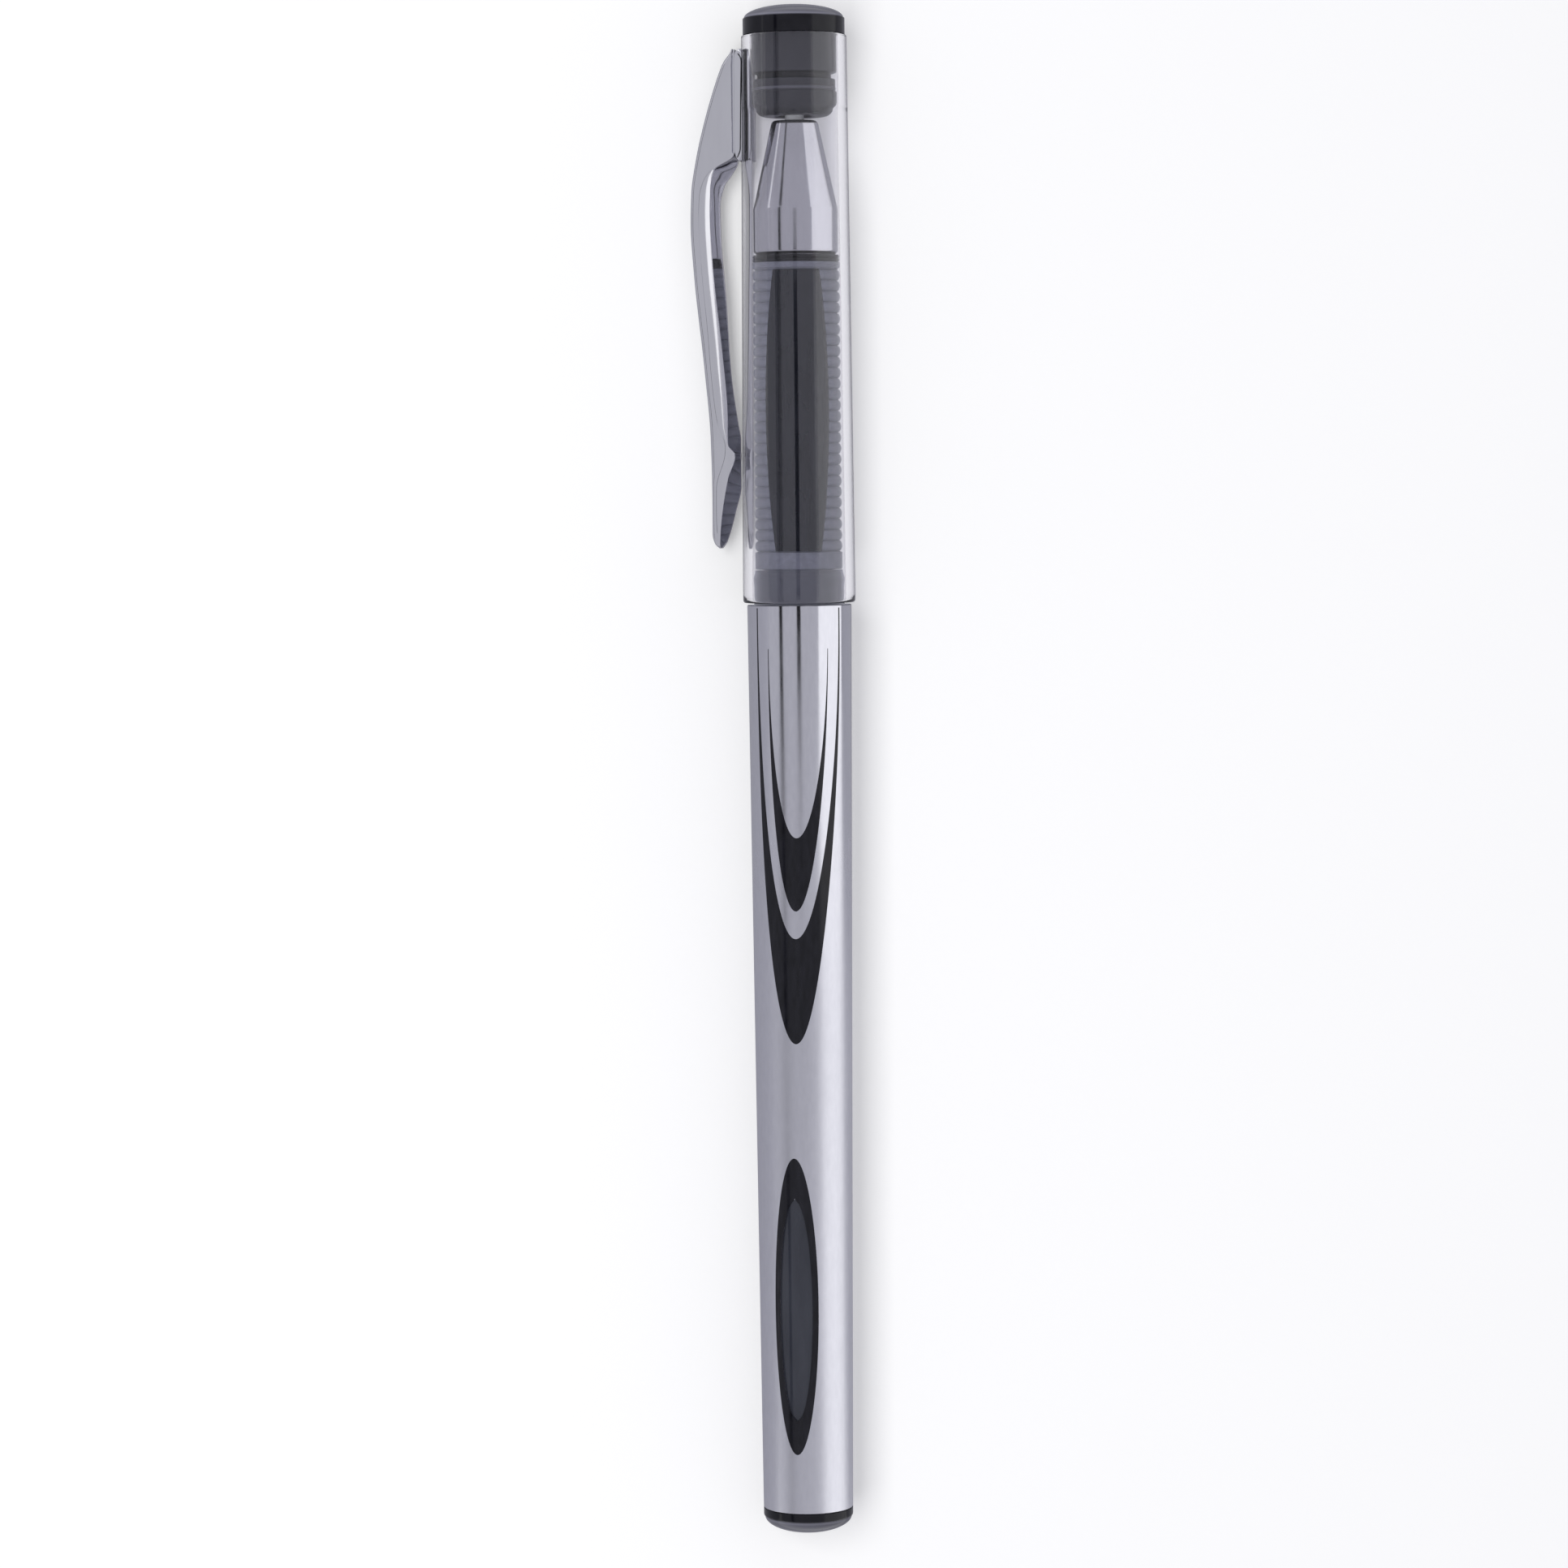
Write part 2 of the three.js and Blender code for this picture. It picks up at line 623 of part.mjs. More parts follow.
// The clip's side view. It runs over the crest to the foot, round the foot's end, along the pad
// that bears on the cap, and back under the arm to the head.
function clipOutline() {
  const headBottom = CLIP_GAP + CLIP_BASE_THICKNESS + CLIP_SPLIT;
  const innerCrest = CLIP_CREST_HEIGHT - CLIP_ARM_THICKNESS;
  const padEnd = clipLength - CLIP_TOE_LENGTH;
  const padStart = padEnd - CLIP_PAD_LENGTH;
  const halfway = (CLIP_CREST_SETBACK + padStart) / 2;
  const footMiddle = (CLIP_GAP + CLIP_FOOT_HEIGHT) / 2 + CLIP_FOOT_RISE;
  const spline = (points) => shape.splineThru(points.map(([x, y]) => new THREE.Vector2(-x, y)));
  const shape = new THREE.Shape();
  shape.moveTo(0, headBottom);
  shape.lineTo(0, headBottom + CLIP_HEAD_EDGE);
  spline([
    [CLIP_CREST_SETBACK * 0.4, CLIP_CREST_HEIGHT * 0.68],
    [CLIP_CREST_SETBACK * 0.75, CLIP_CREST_HEIGHT * 0.95],
    [CLIP_CREST_SETBACK, CLIP_CREST_HEIGHT],
    [halfway, (CLIP_CREST_HEIGHT + CLIP_FOOT_HEIGHT) / 2 + 0.1],
    [padStart, CLIP_FOOT_HEIGHT],
    [clipLength - CLIP_FOOT_ROUND, CLIP_FOOT_HEIGHT],
  ]);
  shape.quadraticCurveTo(-clipLength, CLIP_FOOT_HEIGHT, -clipLength, footMiddle);
  shape.quadraticCurveTo(-clipLength, footMiddle - CLIP_FOOT_ROUND / 2, -padEnd, CLIP_GAP);
  shape.lineTo(-padStart, CLIP_GAP);
  spline([
    [padStart - 3.5, innerCrest * 0.36],
    [halfway, innerCrest * 0.65],
    [CLIP_CREST_SETBACK + 1, innerCrest],
    [CLIP_CREST_SETBACK - 2, innerCrest * 0.93],
  ]);
  shape.lineTo(-CLIP_BASE_LENGTH - 1, headBottom);
  return shape;
}

function pocketClip() {
  const geometry = new THREE.ExtrudeGeometry(clipOutline(), {
    depth: CLIP_WIDTH - 2 * CLIP_BEVEL,
    bevelThickness: CLIP_BEVEL,
    bevelSize: CLIP_BEVEL,
    bevelOffset: -CLIP_BEVEL,
    bevelSegments: 1,
    curveSegments: 3,
  });
  return onCapWall(geometry.translate(0, 0, CLIP_BEVEL - CLIP_WIDTH / 2));
}

// ---- Assembly ----

const pieces = [
  ["cap_body", capBody(), clearPlastic(0xf4f5f6, 0.05)],
  ["cap_plug", capPlug(), plastic(0x0c0c0e, 0.12)],
  ["tip_seal", tipSeal(), plastic(0xb9b6ad, 0.7)],
  ["clip_base", clipBase(), metal(0xc9c9ce, 0.12)],
  ["pocket_clip", pocketClip(), metal(0xcdcdd2, 0.12)],
  ["nose_cone", noseCone(), metal(0xc4c3c6, 0.2)],
  ["nose_washer", noseWasher(), plastic(0x101012, 0.3)],
  ["grip_sleeve", gripSleeve(), plastic(0x202124, 0.55)],
  ["barrel", barrel(), clearPlastic(0x2a2c31, 0.08)],
  ["barrel_film", barrelFilm(), metal(0xb4b4bf, 0.3)],
  ["barrel_end_plug", barrelEndPlug(), plastic(0x0c0c0e, 0.12)],
  ["refill_tube", refillTube(), clearPlastic(0xe4e8ec, 0.2)],
  ["tip_holder", tipHolder(), plastic(0xd8dce0, 0.35)],
  ["writing_tip", writingTip(), metal(0xbfb9a6, 0.25)],
  ["tip_ball", tipBall(), metal(0x8f9196, 0.15)],
  ["tip_spring", tipSpring(), metal(0xb8b8bc, 0.3)],
  ["gel_ink", gelInk(), plastic(0x08080c, 0.2)],
  ["ink_follower", inkFollower(), clearPlastic(0xd9cfa8, 0.2)],
];

// How far the pen can roll about its axis before one vertex of the clip reaches the table. The
// cap's lip holds the axis at the lip's radius above it.
function rollToTouch(alongClip, acrossClip) {
  const reach = Math.hypot(alongClip, acrossClip);
  if (reach <= capMouthRadius) {
    return Math.PI / 2;
  }
  return Math.asin(capMouthRadius / reach) - Math.atan2(Math.abs(acrossClip), alongClip);
}

function restingRoll(clip) {
  const position = clip.attributes.position;
  let roll = Math.PI / 2;
  for (let i = 0; i < position.count; i += 1) {
    roll = Math.min(roll, rollToTouch(position.getY(i), position.getZ(i)));
  }
  return roll;
}

const pen = new THREE.Group();
for (const [name, geometry, material] of pieces) {
  const mesh = new THREE.Mesh(geometry, material);
  mesh.name = name;
  pen.add(mesh);
}
pen.rotation.x = -restingRoll(pen.getObjectByName("pocket_clip").geometry);

const group = new THREE.Group();
group.add(pen);
const bounds = new THREE.Box3().setFromObject(group, true);
const centre = bounds.getCenter(new THREE.Vector3());
pen.position.set(-centre.x, -centre.y, -bounds.min.z);

export default group;
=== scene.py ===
"""Looks of the capped gel pen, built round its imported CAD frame.

Every piece is drawn in the pen's own frame, in millimetres: stations run along the axis from the
tip of the rear dome to the cap's end, y points from the axis towards the clip, and z across it.
place() turns such a point into the row frame, in metres.
"""

import json
import math
from collections import Counter, defaultdict
from functools import lru_cache

import bmesh
import bpy
from mathutils import Matrix, Vector


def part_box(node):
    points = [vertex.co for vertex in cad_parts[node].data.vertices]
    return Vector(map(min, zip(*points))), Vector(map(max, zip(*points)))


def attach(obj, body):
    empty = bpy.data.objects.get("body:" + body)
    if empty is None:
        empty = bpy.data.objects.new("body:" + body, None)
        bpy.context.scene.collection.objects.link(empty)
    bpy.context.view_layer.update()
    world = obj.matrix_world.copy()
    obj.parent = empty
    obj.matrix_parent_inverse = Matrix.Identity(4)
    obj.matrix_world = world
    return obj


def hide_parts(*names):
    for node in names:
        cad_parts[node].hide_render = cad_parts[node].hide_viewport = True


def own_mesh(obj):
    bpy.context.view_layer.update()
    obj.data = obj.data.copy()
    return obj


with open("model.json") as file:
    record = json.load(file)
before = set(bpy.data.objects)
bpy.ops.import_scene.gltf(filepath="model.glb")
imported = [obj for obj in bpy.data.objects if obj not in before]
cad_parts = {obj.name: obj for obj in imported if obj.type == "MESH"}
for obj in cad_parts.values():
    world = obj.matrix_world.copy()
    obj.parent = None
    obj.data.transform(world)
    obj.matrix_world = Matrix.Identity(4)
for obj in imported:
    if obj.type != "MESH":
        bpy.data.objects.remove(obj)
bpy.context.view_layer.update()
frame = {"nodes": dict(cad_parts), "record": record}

MM = 0.001

# ---- Fineness ----

ROUND_SEGMENTS = 144  # round the casings
SMALL_SEGMENTS = 72  # round the refill's pieces
GRIP_SEGMENTS = 288
PANEL_FACES = 40  # across a grip panel
CORNER_STEPS = 5  # in each rounded corner of a turned profile
DOME_STEPS = 20
BALL_STEPS = 28
BAND_FACES = 8  # across each half of a printed band
FILM_FACES = 160  # round the film, from one side of its window to the other
SHARP_ANGLE = math.radians(32)
SUPPORT = 0.04  # millimetres from a rounding to the point that holds the face beside it flat

# ---- Camera, from the pen ----

CAMERA_STATION = 103.98
CAMERA_DISTANCE = 485.0
CAMERA_TILT = math.radians(16.5)  # from straight above, towards the clip
AIM_STATION = 74.1
AIM_SIDESTEP = 1.69
AXIS_LEAN = math.radians(0.593)
CAMERA_LENS = 113.65

# ---- Light ----

WORLD_COLOUR = (0.47, 0.47, 0.515)
WORLD_STRENGTH = 1.0
FLOOR_SIZE = 4.0
FLOOR_COLOUR = (0.80, 0.80, 0.79)
FLOOR_IN_REFLECTIONS = (0.42, 0.42, 0.45)
FLOOR_GLOW = 0.27
FLOOR_DROP = 0.00002  # metres, so that the floor doesn't touch the pen
KEY_TURN = math.radians(-15)  # from the camera's direction, to the image's right
KEY_STATION = 75.0
KEY_DISTANCE = 0.8  # metres, like its size
KEY_SIZE = (0.6, 0.26)
KEY_RADIANCE = 7.6
DIM_HALF_LENGTH = 0.085  # the floor past the pen's ends stays bright in reflections

# ---- Details of the pieces, in millimetres ----

CAP_LIP_ROUND = 0.3
SHOULDER_EXTRA = 0.2  # the barrel's shoulder and film come this much closer to the cap's mouth
CAP_TOP_ROUND = 0.12
COLLAR_START = 91.5  # from here to the grip the smoky plastic is paler
PRINT_LIFT = 0.012

# The two black bands on the film: half-ellipses that open at the cap's mouth
PRINT_CENTRE_ANGLE_MOUTH = math.radians(95.6)
PRINT_CENTRE_ANGLE_TIP = math.radians(89.0)
PRINT_MOUTH_STATION = 91.45
OVAL_CENTRE_STATION = 23.05
OVAL_HALF_LENGTH = 14.65
OVAL_HALF_WIDTH = 2.16
OVAL_ANGLE = math.radians(85.0)

# The film is mirror-like by the cap's mouth and satin from here to the tail
FILM_SATIN_STATION = 50
FILM_SATIN = 0.38
FILM_MIRROR = 0.10

# ---- The pen's frame ----

mounts = {mount["name"]: mount for mount in frame["record"]["mounts"]}
AXIS_POINT = Vector(mounts["cap_end_face"]["pos_m"])
ALONG = Vector((1, 0, 0))
ACROSS = Vector(mounts["clip_side_face"]["axis"]).normalized()
TO_CLIP = ACROSS.cross(ALONG)
REAR_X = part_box("barrel_end_plug")[0].x


def place(station, y, z):
    """A point of the pen's frame in the row frame."""
    centre = Vector((REAR_X + station * MM, AXIS_POINT.y, AXIS_POINT.z))
    return centre + TO_CLIP * (y * MM) + ACROSS * (z * MM)


def around(station, radius, angle):
    """A point at an angle round the axis, measured from the clip."""
    return place(station, radius * math.cos(angle), radius * math.sin(angle))


@lru_cache(maxsize=None)
def span(node):
    """First and last station of a CAD node."""
    low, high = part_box(node)
    return (low.x - REAR_X) / MM, (high.x - REAR_X) / MM


@lru_cache(maxsize=None)
def cad_rings(node):
    """The (station, radius) corners that a turned CAD node's profile has: those found all the way round."""
    sides = defaultdict(set)
    for vertex in frame["nodes"][node].data.vertices:
        station = (vertex.co.x - REAR_X) / MM
        y, z = vertex.co.y - AXIS_POINT.y, vertex.co.z - AXIS_POINT.z
        ring = round(station, 2), round(math.hypot(y, z) / MM, 2)
        sides[ring].add(round(math.degrees(math.atan2(z, y)) / 15))
    return sorted(ring for ring, found in sides.items() if len(found) >= 16)


@lru_cache(maxsize=None)
def radii_at(node, station, reach=0.03):
    return [r for s, r in cad_rings(node) if abs(s - station) <= reach]


def outer(node, station=None):
    """Largest radius of a turned CAD node, at one station or anywhere."""
    if station is None:
        return max(r for _, r in cad_rings(node))
    return max(radii_at(node, station))


def inner(node, station=None):
    """Smallest radius of a turned CAD node, at one station or anywhere."""
    if station is None:
        return min(r for _, r in cad_rings(node))
    return min(radii_at(node, station))


def stations_at(node, radius):
    """Stations where a turned CAD node has that radius."""
    return [s for s, r in cad_rings(node) if abs(r - radius) < 0.02]


# ---- Mesh helpers ----


def mix(a, b, t):
    return a + (b - a) * t


def smooth(low, high, value):
    t = min(1.0, max(0.0, (value - low) / (high - low)))
    return t * t * (3 - 2 * t)


def rounded(profile, steps=CORNER_STEPS):
    """A profile of (station, radius) or (station, radius, rounding) corners with the roundings drawn.

    A point just outside each rounding keeps the faces beside it evenly shaded."""
    points = []
    count = len(profile)
    for i, corner in enumerate(profile):
        here = Vector(corner[:2])
        rounding = corner[2] if len(corner) > 2 else 0.0
        if rounding <= 0 or i in (0, count - 1) and profile[0][1] < 1e-6:
            points.append(tuple(here))
            continue
        to_last = Vector(profile[i - 1][:2]) - here
        to_next = Vector(profile[(i + 1) % count][:2]) - here
        reach_in = min(rounding, to_last.length * 0.4)
        reach_out = min(rounding, to_next.length * 0.4)
        start = here + to_last.normalized() * reach_in
        end = here + to_next.normalized() * reach_out
        points.append(tuple(start + to_last.normalized() * min(SUPPORT, to_last.length * 0.08)))
        for step in range(steps + 1):
            t = step / steps
            points.append(tuple(start * (1 - t) ** 2 + here * 2 * t * (1 - t) + end * t * t))
        points.append(tuple(end + to_next.normalized() * min(SUPPORT, to_next.length * 0.08)))
    return points


def dome(rim_station, rim_radius, height, direction):
    """From the rim of a dome to its top on the axis."""
    points = []
    for step in range(DOME_STEPS + 1):
        angle = math.pi / 2 * step / DOME_STEPS
        points.append((rim_station + direction * height * math.sin(angle), rim_radius * math.cos(angle)))
    points[-1] = (points[-1][0], 0.0)
    return points


def bridge(bm, a, b):
    """Faces between two rings, either of which may be a single point."""
    if len(a) == 1 and len(b) == 1:
        return
    count = max(len(a), len(b))
    for i in range(count):
        j = (i + 1) % count
        corners = [a[i % len(a)], a[j % len(a)], b[j % len(b)], b[i % len(b)]]
        unique = []
        for vertex in corners:
            if vertex not in unique:
                unique.append(vertex)
        bm.faces.new(unique)


def to_object(bm, name, material, body, replaced=(), sharp=SHARP_ANGLE):
    """Makes the piece, gives it its material and lets it ride on its body."""
    bmesh.ops.recalc_face_normals(bm, faces=bm.faces)
    mesh = bpy.data.meshes.new(name)
    bm.to_mesh(mesh)
    bm.free()
    for polygon in mesh.polygons:
        polygon.use_smooth = True
    mesh.set_sharp_from_angle(angle=sharp)
    mesh.materials.append(material)
    obj = bpy.data.objects.new(name, mesh)
    bpy.context.scene.collection.objects.link(obj)
    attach(obj, body)
    if replaced:
        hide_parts(*replaced)
    return obj


def grid(bm, rows):
    """Faces over rows of as many points."""
    for a, b in zip(rows, rows[1:]):
        for k in range(len(a) - 1):
            bm.faces.new((a[k], a[k + 1], b[k + 1], b[k]))


def mirrored_ring(bm, station, half):
    """A ring from half a section of (height, width) points, with its mirror image."""
    outline = half + [(h, -w) for h, w in reversed(half) if w > 0]
    return [bm.verts.new(place(station, h, w)) for h, w in outline]


def skin(bm, rings):
    """Faces along the rings, and one at each end."""
    for a, b in zip(rings, rings[1:]):
        bridge(bm, a, b)
    bm.faces.new(rings[0])
    bm.faces.new(rings[-1])


def turned(profile, segments=ROUND_SEGMENTS):
    """A turned solid. A profile that leaves the axis comes back to it, and any other closes on itself."""
    bm = bmesh.new()
    rings = []
    for station, radius in profile:
        if radius < 1e-6:
            rings.append([bm.verts.new(place(station, 0, 0))])
            continue
        angles = [2 * math.pi * k / segments for k in range(segments)]
        rings.append([bm.verts.new(around(station, radius, angle)) for angle in angles])
    for a, b in zip(rings, rings[1:]):
        bridge(bm, a, b)
    if len(rings[0]) > 1:
        bridge(bm, rings[-1], rings[0])
    return bm


def turned_piece(name, profile, material, body, node, segments=ROUND_SEGMENTS):
    return to_object(turned(rounded(profile), segments), name, material, body, [node])


# ---- Material helpers ----


def new_material(name, colour, roughness, **sockets):
    material = bpy.data.materials.new(name)
    material.use_nodes = True
    shader = material.node_tree.nodes["Principled BSDF"]
    shader.inputs["Base Color"].default_value = (*colour, 1)
    shader.inputs["Roughness"].default_value = roughness
    for key, value in sockets.items():
        shader.inputs[key.replace("_", " ")].default_value = value
    return material


def node(material, kind, inputs=None, **settings):
    made = material.node_tree.nodes.new(kind)
    for key, value in settings.items():
        setattr(made, key, value)
    for key, value in (inputs or {}).items():
        made.inputs[key].default_value = value
    return made


def link(material, source, target):
    material.node_tree.links.new(source, target)


def shader_of(material):
    return material.node_tree.nodes["Principled BSDF"]


def sockets_of(found):
    """Sockets by identifier, because a Mix node gives several of them one name."""
    return {socket.identifier: socket for socket in found}


def calculate(material, operation, *values, clamp=False):
    """A Math node's result. Each value is a number or another node's output."""
    made = node(material, "ShaderNodeMath", operation=operation, use_clamp=clamp)
    for socket, value in zip(made.inputs, values):
        if isinstance(value, float):
            socket.default_value = value
        else:
            link(material, value, socket)
    return made.outputs["Value"]


def show_instead(material, share, other):
    """Mixes another shader over the material's own, by a share of 0 to 1."""
    output = next(n for n in material.node_tree.nodes if n.type == "OUTPUT_MATERIAL")
    blend = node(material, "ShaderNodeMixShader")
    link(material, share, blend.inputs["Fac"])
    link(material, shader_of(material).outputs["BSDF"], blend.inputs[1])
    link(material, other.outputs["BSDF"], blend.inputs[2])
    link(material, blend.outputs["Shader"], output.inputs["Surface"])


def along_pen(material):
    """The row frame's X at the shaded point."""
    place_node = node(material, "ShaderNodeTexCoord")
    split = node(material, "ShaderNodeSeparateXYZ")
    link(material, place_node.outputs["Object"], split.inputs["Vector"])
    return split.outputs["X"]


def grain(material, size, stretch=1.0):
    """Noise of that size in millimetres, stretched along the pen. Its output is near 0.5."""
    place_node = node(material, "ShaderNodeTexCoord")
    mapping = node(material, "ShaderNodeMapping", {"Scale": (1 / stretch, 1, 1)})
    texture = node(material, "ShaderNodeTexNoise", {"Scale": 1 / (size * MM), "Detail": 3.0})
    link(material, place_node.outputs["Object"], mapping.inputs["Vector"])
    link(material, mapping.outputs["Vector"], texture.inputs["Vector"])
    return texture.outputs["Fac"]


def spread(material, source, low, high, source_low=0.3, source_high=0.7):
    """The source's usual range brought to low..high."""
    ranges = {"From Min": source_low, "From Max": source_high, "To Min": low, "To Max": high}
    mapped = node(material, "ShaderNodeMapRange", ranges)
    link(material, source, mapped.inputs["Value"])
    return mapped.outputs["Result"]


def vary_roughness(material, low, high, size, stretch=1.0):
    source = grain(material, size, stretch)
    link(material, spread(material, source, low, high), shader_of(material).inputs["Roughness"])


def vary_colour(material, dark, light, size, stretch=1.0):
    blend = node(material, "ShaderNodeMix", data_type="RGBA")
    ends = sockets_of(blend.inputs)
    ends["A_Color"].default_value = (*dark, 1)
    ends["B_Color"].default_value = (*light, 1)
    source = grain(material, size, stretch)
    link(material, spread(material, source, 0, 1), blend.inputs["Factor"])
    link(material, sockets_of(blend.outputs)["Result_Color"], shader_of(material).inputs["Base Color"])


def add_bump(material, size, depth, stretch=1.0):
    """Fine relief: size and depth are in millimetres."""
    source = grain(material, size, stretch)
    bump = node(material, "ShaderNodeBump", {"Strength": 1.0, "Distance": depth * MM})
    link(material, source, bump.inputs["Height"])
    link(material, bump.outputs["Normal"], shader_of(material).inputs["Normal"])


def let_light_in(material):
    """Lamps and scattered light pass straight through, so what is inside is lit."""
    path = node(material, "ShaderNodeLightPath").outputs
    clear = node(material, "ShaderNodeBsdfTransparent", {"Color": (0.93, 0.93, 0.94, 1)})
    straight = calculate(material, "MAXIMUM", path["Is Shadow Ray"], path["Is Diffuse Ray"])
    show_instead(material, straight, clear)


def add_sheen(material, weight, roughness):
    shader = shader_of(material)
    shader.inputs["Sheen Weight"].default_value = weight
    shader.inputs["Sheen Roughness"].default_value = roughness
    shader.inputs["Sheen Tint"].default_value = (0.80, 0.82, 0.95, 1)


def add_glow(material, colour, strength):
    """The material's own light. It isn't sampled as a lamp, so light through glass isn't counted twice."""
    shader_of(material).inputs["Emission Color"].default_value = (*colour, 1)
    shader_of(material).inputs["Emission Strength"].default_value = strength
    material.cycles.emission_sampling = "NONE"


def paler_along(material, colours):
    """Adds paler bands along the pen to a material's colour, as (station, shade) steps."""
    first, last = colours[0][0], colours[-1][0]
    along = spread(material, along_pen(material), 0, 1, place(first, 0, 0).x, place(last, 0, 0).x)
    ramp = node(material, "ShaderNodeValToRGB")
    link(material, along, ramp.inputs["Fac"])
    while len(ramp.color_ramp.elements) < len(colours):
        ramp.color_ramp.elements.new(0.5)
    for element, (station, shade) in zip(ramp.color_ramp.elements, colours):
        element.position = (station - first) / (last - first)
        element.color = (shade, shade, shade * 1.2, 1)
    total = node(material, "ShaderNodeMix", data_type="RGBA", blend_type="ADD")
    sockets = sockets_of(total.inputs)
    sockets["Factor_Float"].default_value = 1.0
    base = shader_of(material).inputs["Base Color"]
    link(material, base.links[0].from_socket, sockets["A_Color"])
    link(material, ramp.outputs["Color"], sockets["B_Color"])
    link(material, sockets_of(total.outputs)["Result_Color"], base)
    return material


# ---- Materials ----


def clear_plastic():
    material = new_material("clear_plastic", (0.885, 0.88, 0.915), 0.02, Transmission_Weight=1.0, IOR=1.49)
    vary_roughness(material, 0.01, 0.05, 2.5, stretch=3)
    add_bump(material, 1.6, 0.0012, stretch=6)
    let_light_in(material)
    return material


def painted(name, dark, light, colour_grain, roughness, rough_grain, relief, **sockets):
    """Its colour and roughness vary. A grain is (size, stretch), and the relief is (size, depth, stretch)."""
    material = new_material(name, light, roughness[0], **sockets)
    vary_colour(material, dark, light, *colour_grain)
    vary_roughness(material, *roughness, *rough_grain)
    add_bump(material, *relief)
    return material


def black_gloss(name):
    dark, light = (0.004, 0.004, 0.006), (0.008, 0.008, 0.011)
    return painted(name, dark, light, (1.2,), (0.08, 0.17), (0.6,), (0.5, 0.0008), Specular_IOR_Level=0.3)


def plated(name, colour, low, high):
    darker = tuple(c * 0.94 for c in colour)
    return painted(name, darker, colour, (1.5, 5), (low, high), (0.4, 12), (0.6, 0.0008, 5), Metallic=1.0)


def film_silver():
    material = new_material("film_silver", (0.78, 0.78, 0.83), 0.26, Metallic=1.0)
    vary_colour(material, (0.75, 0.75, 0.80), (0.79, 0.79, 0.84), 0.4, stretch=3)
    rough_grain = spread(material, grain(material, 0.5, stretch=8), -0.02, 0.03)
    satin, mirror = place(FILM_SATIN_STATION, 0, 0).x, place(PRINT_MOUTH_STATION, 0, 0).x
    along = spread(material, along_pen(material), FILM_SATIN, FILM_MIRROR, satin, mirror)
    total = calculate(material, "ADD", rough_grain, along)
    link(material, total, shader_of(material).inputs["Roughness"])
    add_bump(material, 0.15, 0.0006)
    return material


def print_black():
    dark, light = (0.004, 0.004, 0.006), (0.009, 0.009, 0.013)
    grains = (0.4, 4), (0.12, 0.24), (0.3, 3), (0.12, 0.0008)
    return painted("print_black", dark, light, *grains, Specular_IOR_Level=0.35)


def smoke_plastic():
    dark, light = (0.030, 0.033, 0.045), (0.050, 0.054, 0.070)
    grains = (2.0, 4), (0.05, 0.13), (0.8, 3), (0.9, 0.001, 4)
    material = painted("smoke_plastic", dark, light, *grains, Transmission_Weight=0.45, IOR=1.5)
    add_sheen(material, 0.45, 0.45)
    let_light_in(material)
    return paler_along(material, [(COLLAR_START - 0.2, 0.0), (COLLAR_START, 0.075)])


def grip_rubber():
    dark, light = (0.128, 0.133, 0.167), (0.172, 0.178, 0.222)
    material = painted("grip_rubber", dark, light, (0.5,), (0.28, 0.42), (0.25,), (0.12, 0.0025), IOR=1.5)
    add_sheen(material, 0.25, 0.4)
    return material


def grip_gloss():
    dark, light = (0.009, 0.010, 0.014), (0.016, 0.017, 0.023)
    return painted("grip_gloss", dark, light, (1.5, 4), (0.08, 0.18), (0.6, 4), (0.3, 0.0012, 3), IOR=1.5)


def refill_clear():
    material = new_material("refill_clear", (0.86, 0.88, 0.90), 0.25, Transmission_Weight=0.8, IOR=1.49)
    vary_roughness(material, 0.18, 0.32, 1.0, stretch=5)
    add_bump(material, 0.7, 0.001, stretch=6)
    let_light_in(material)
    return material


def plain_plastic(name, dark, light, low, high):
    return painted(name, dark, light, (0.8,), (low, high), (0.4,), (0.25, 0.0015))


def floor_paper():
    """Pale paper that shows darker in the pen's reflections, but not through the cap's wall."""
    material = new_material("floor_paper", FLOOR_COLOUR, 0.9)
    vary_colour(material, tuple(c * 0.995 for c in FLOOR_COLOUR), FLOOR_COLOUR, 30)
    add_bump(material, 0.5, 0.002)
    add_glow(material, (1.0, 1.0, 0.985), FLOOR_GLOW)
    path = node(material, "ShaderNodeLightPath").outputs
    in_wall = calculate(material, "COMPARE", path["Transmission Depth"], 2.0, 1.5)
    reflected = calculate(material, "SUBTRACT", path["Glossy Depth"], in_wall, clamp=True)
    beside = calculate(material, "COMPARE", along_pen(material), 0.0, DIM_HALF_LENGTH)
    dim = node(material, "ShaderNodeBsdfDiffuse", {"Color": (*FLOOR_IN_REFLECTIONS, 1)})
    show_instead(material, calculate(material, "MULTIPLY", reflected, beside), dim)
    return material


def card_black(name):
    material = new_material(name, (0.0, 0.0, 0.0), 1.0)
    shader_of(material).inputs["Specular IOR Level"].default_value = 0.0
    return material


CLEAR = clear_plastic()
BLACK = black_gloss("black_gloss")
CHROME = plated("chrome", (0.83, 0.83, 0.86), 0.04, 0.09)
NOSE_METAL = plated("nose_plating", (0.80, 0.80, 0.82), 0.09, 0.16)
TIP_METAL = plated("tip_metal", (0.72, 0.69, 0.60), 0.18, 0.3)
STEEL = plated("steel", (0.62, 0.62, 0.64), 0.15, 0.28)
CARBIDE = plated("carbide", (0.45, 0.45, 0.47), 0.12, 0.2)
SILVER = film_silver()
PRINT = print_black()
SMOKE = smoke_plastic()
RUBBER = grip_rubber()
PANEL = grip_gloss()
REFILL = refill_clear()
NATURAL = plain_plastic("natural_plastic", (0.80, 0.81, 0.82), (0.90, 0.91, 0.93), 0.28, 0.42)
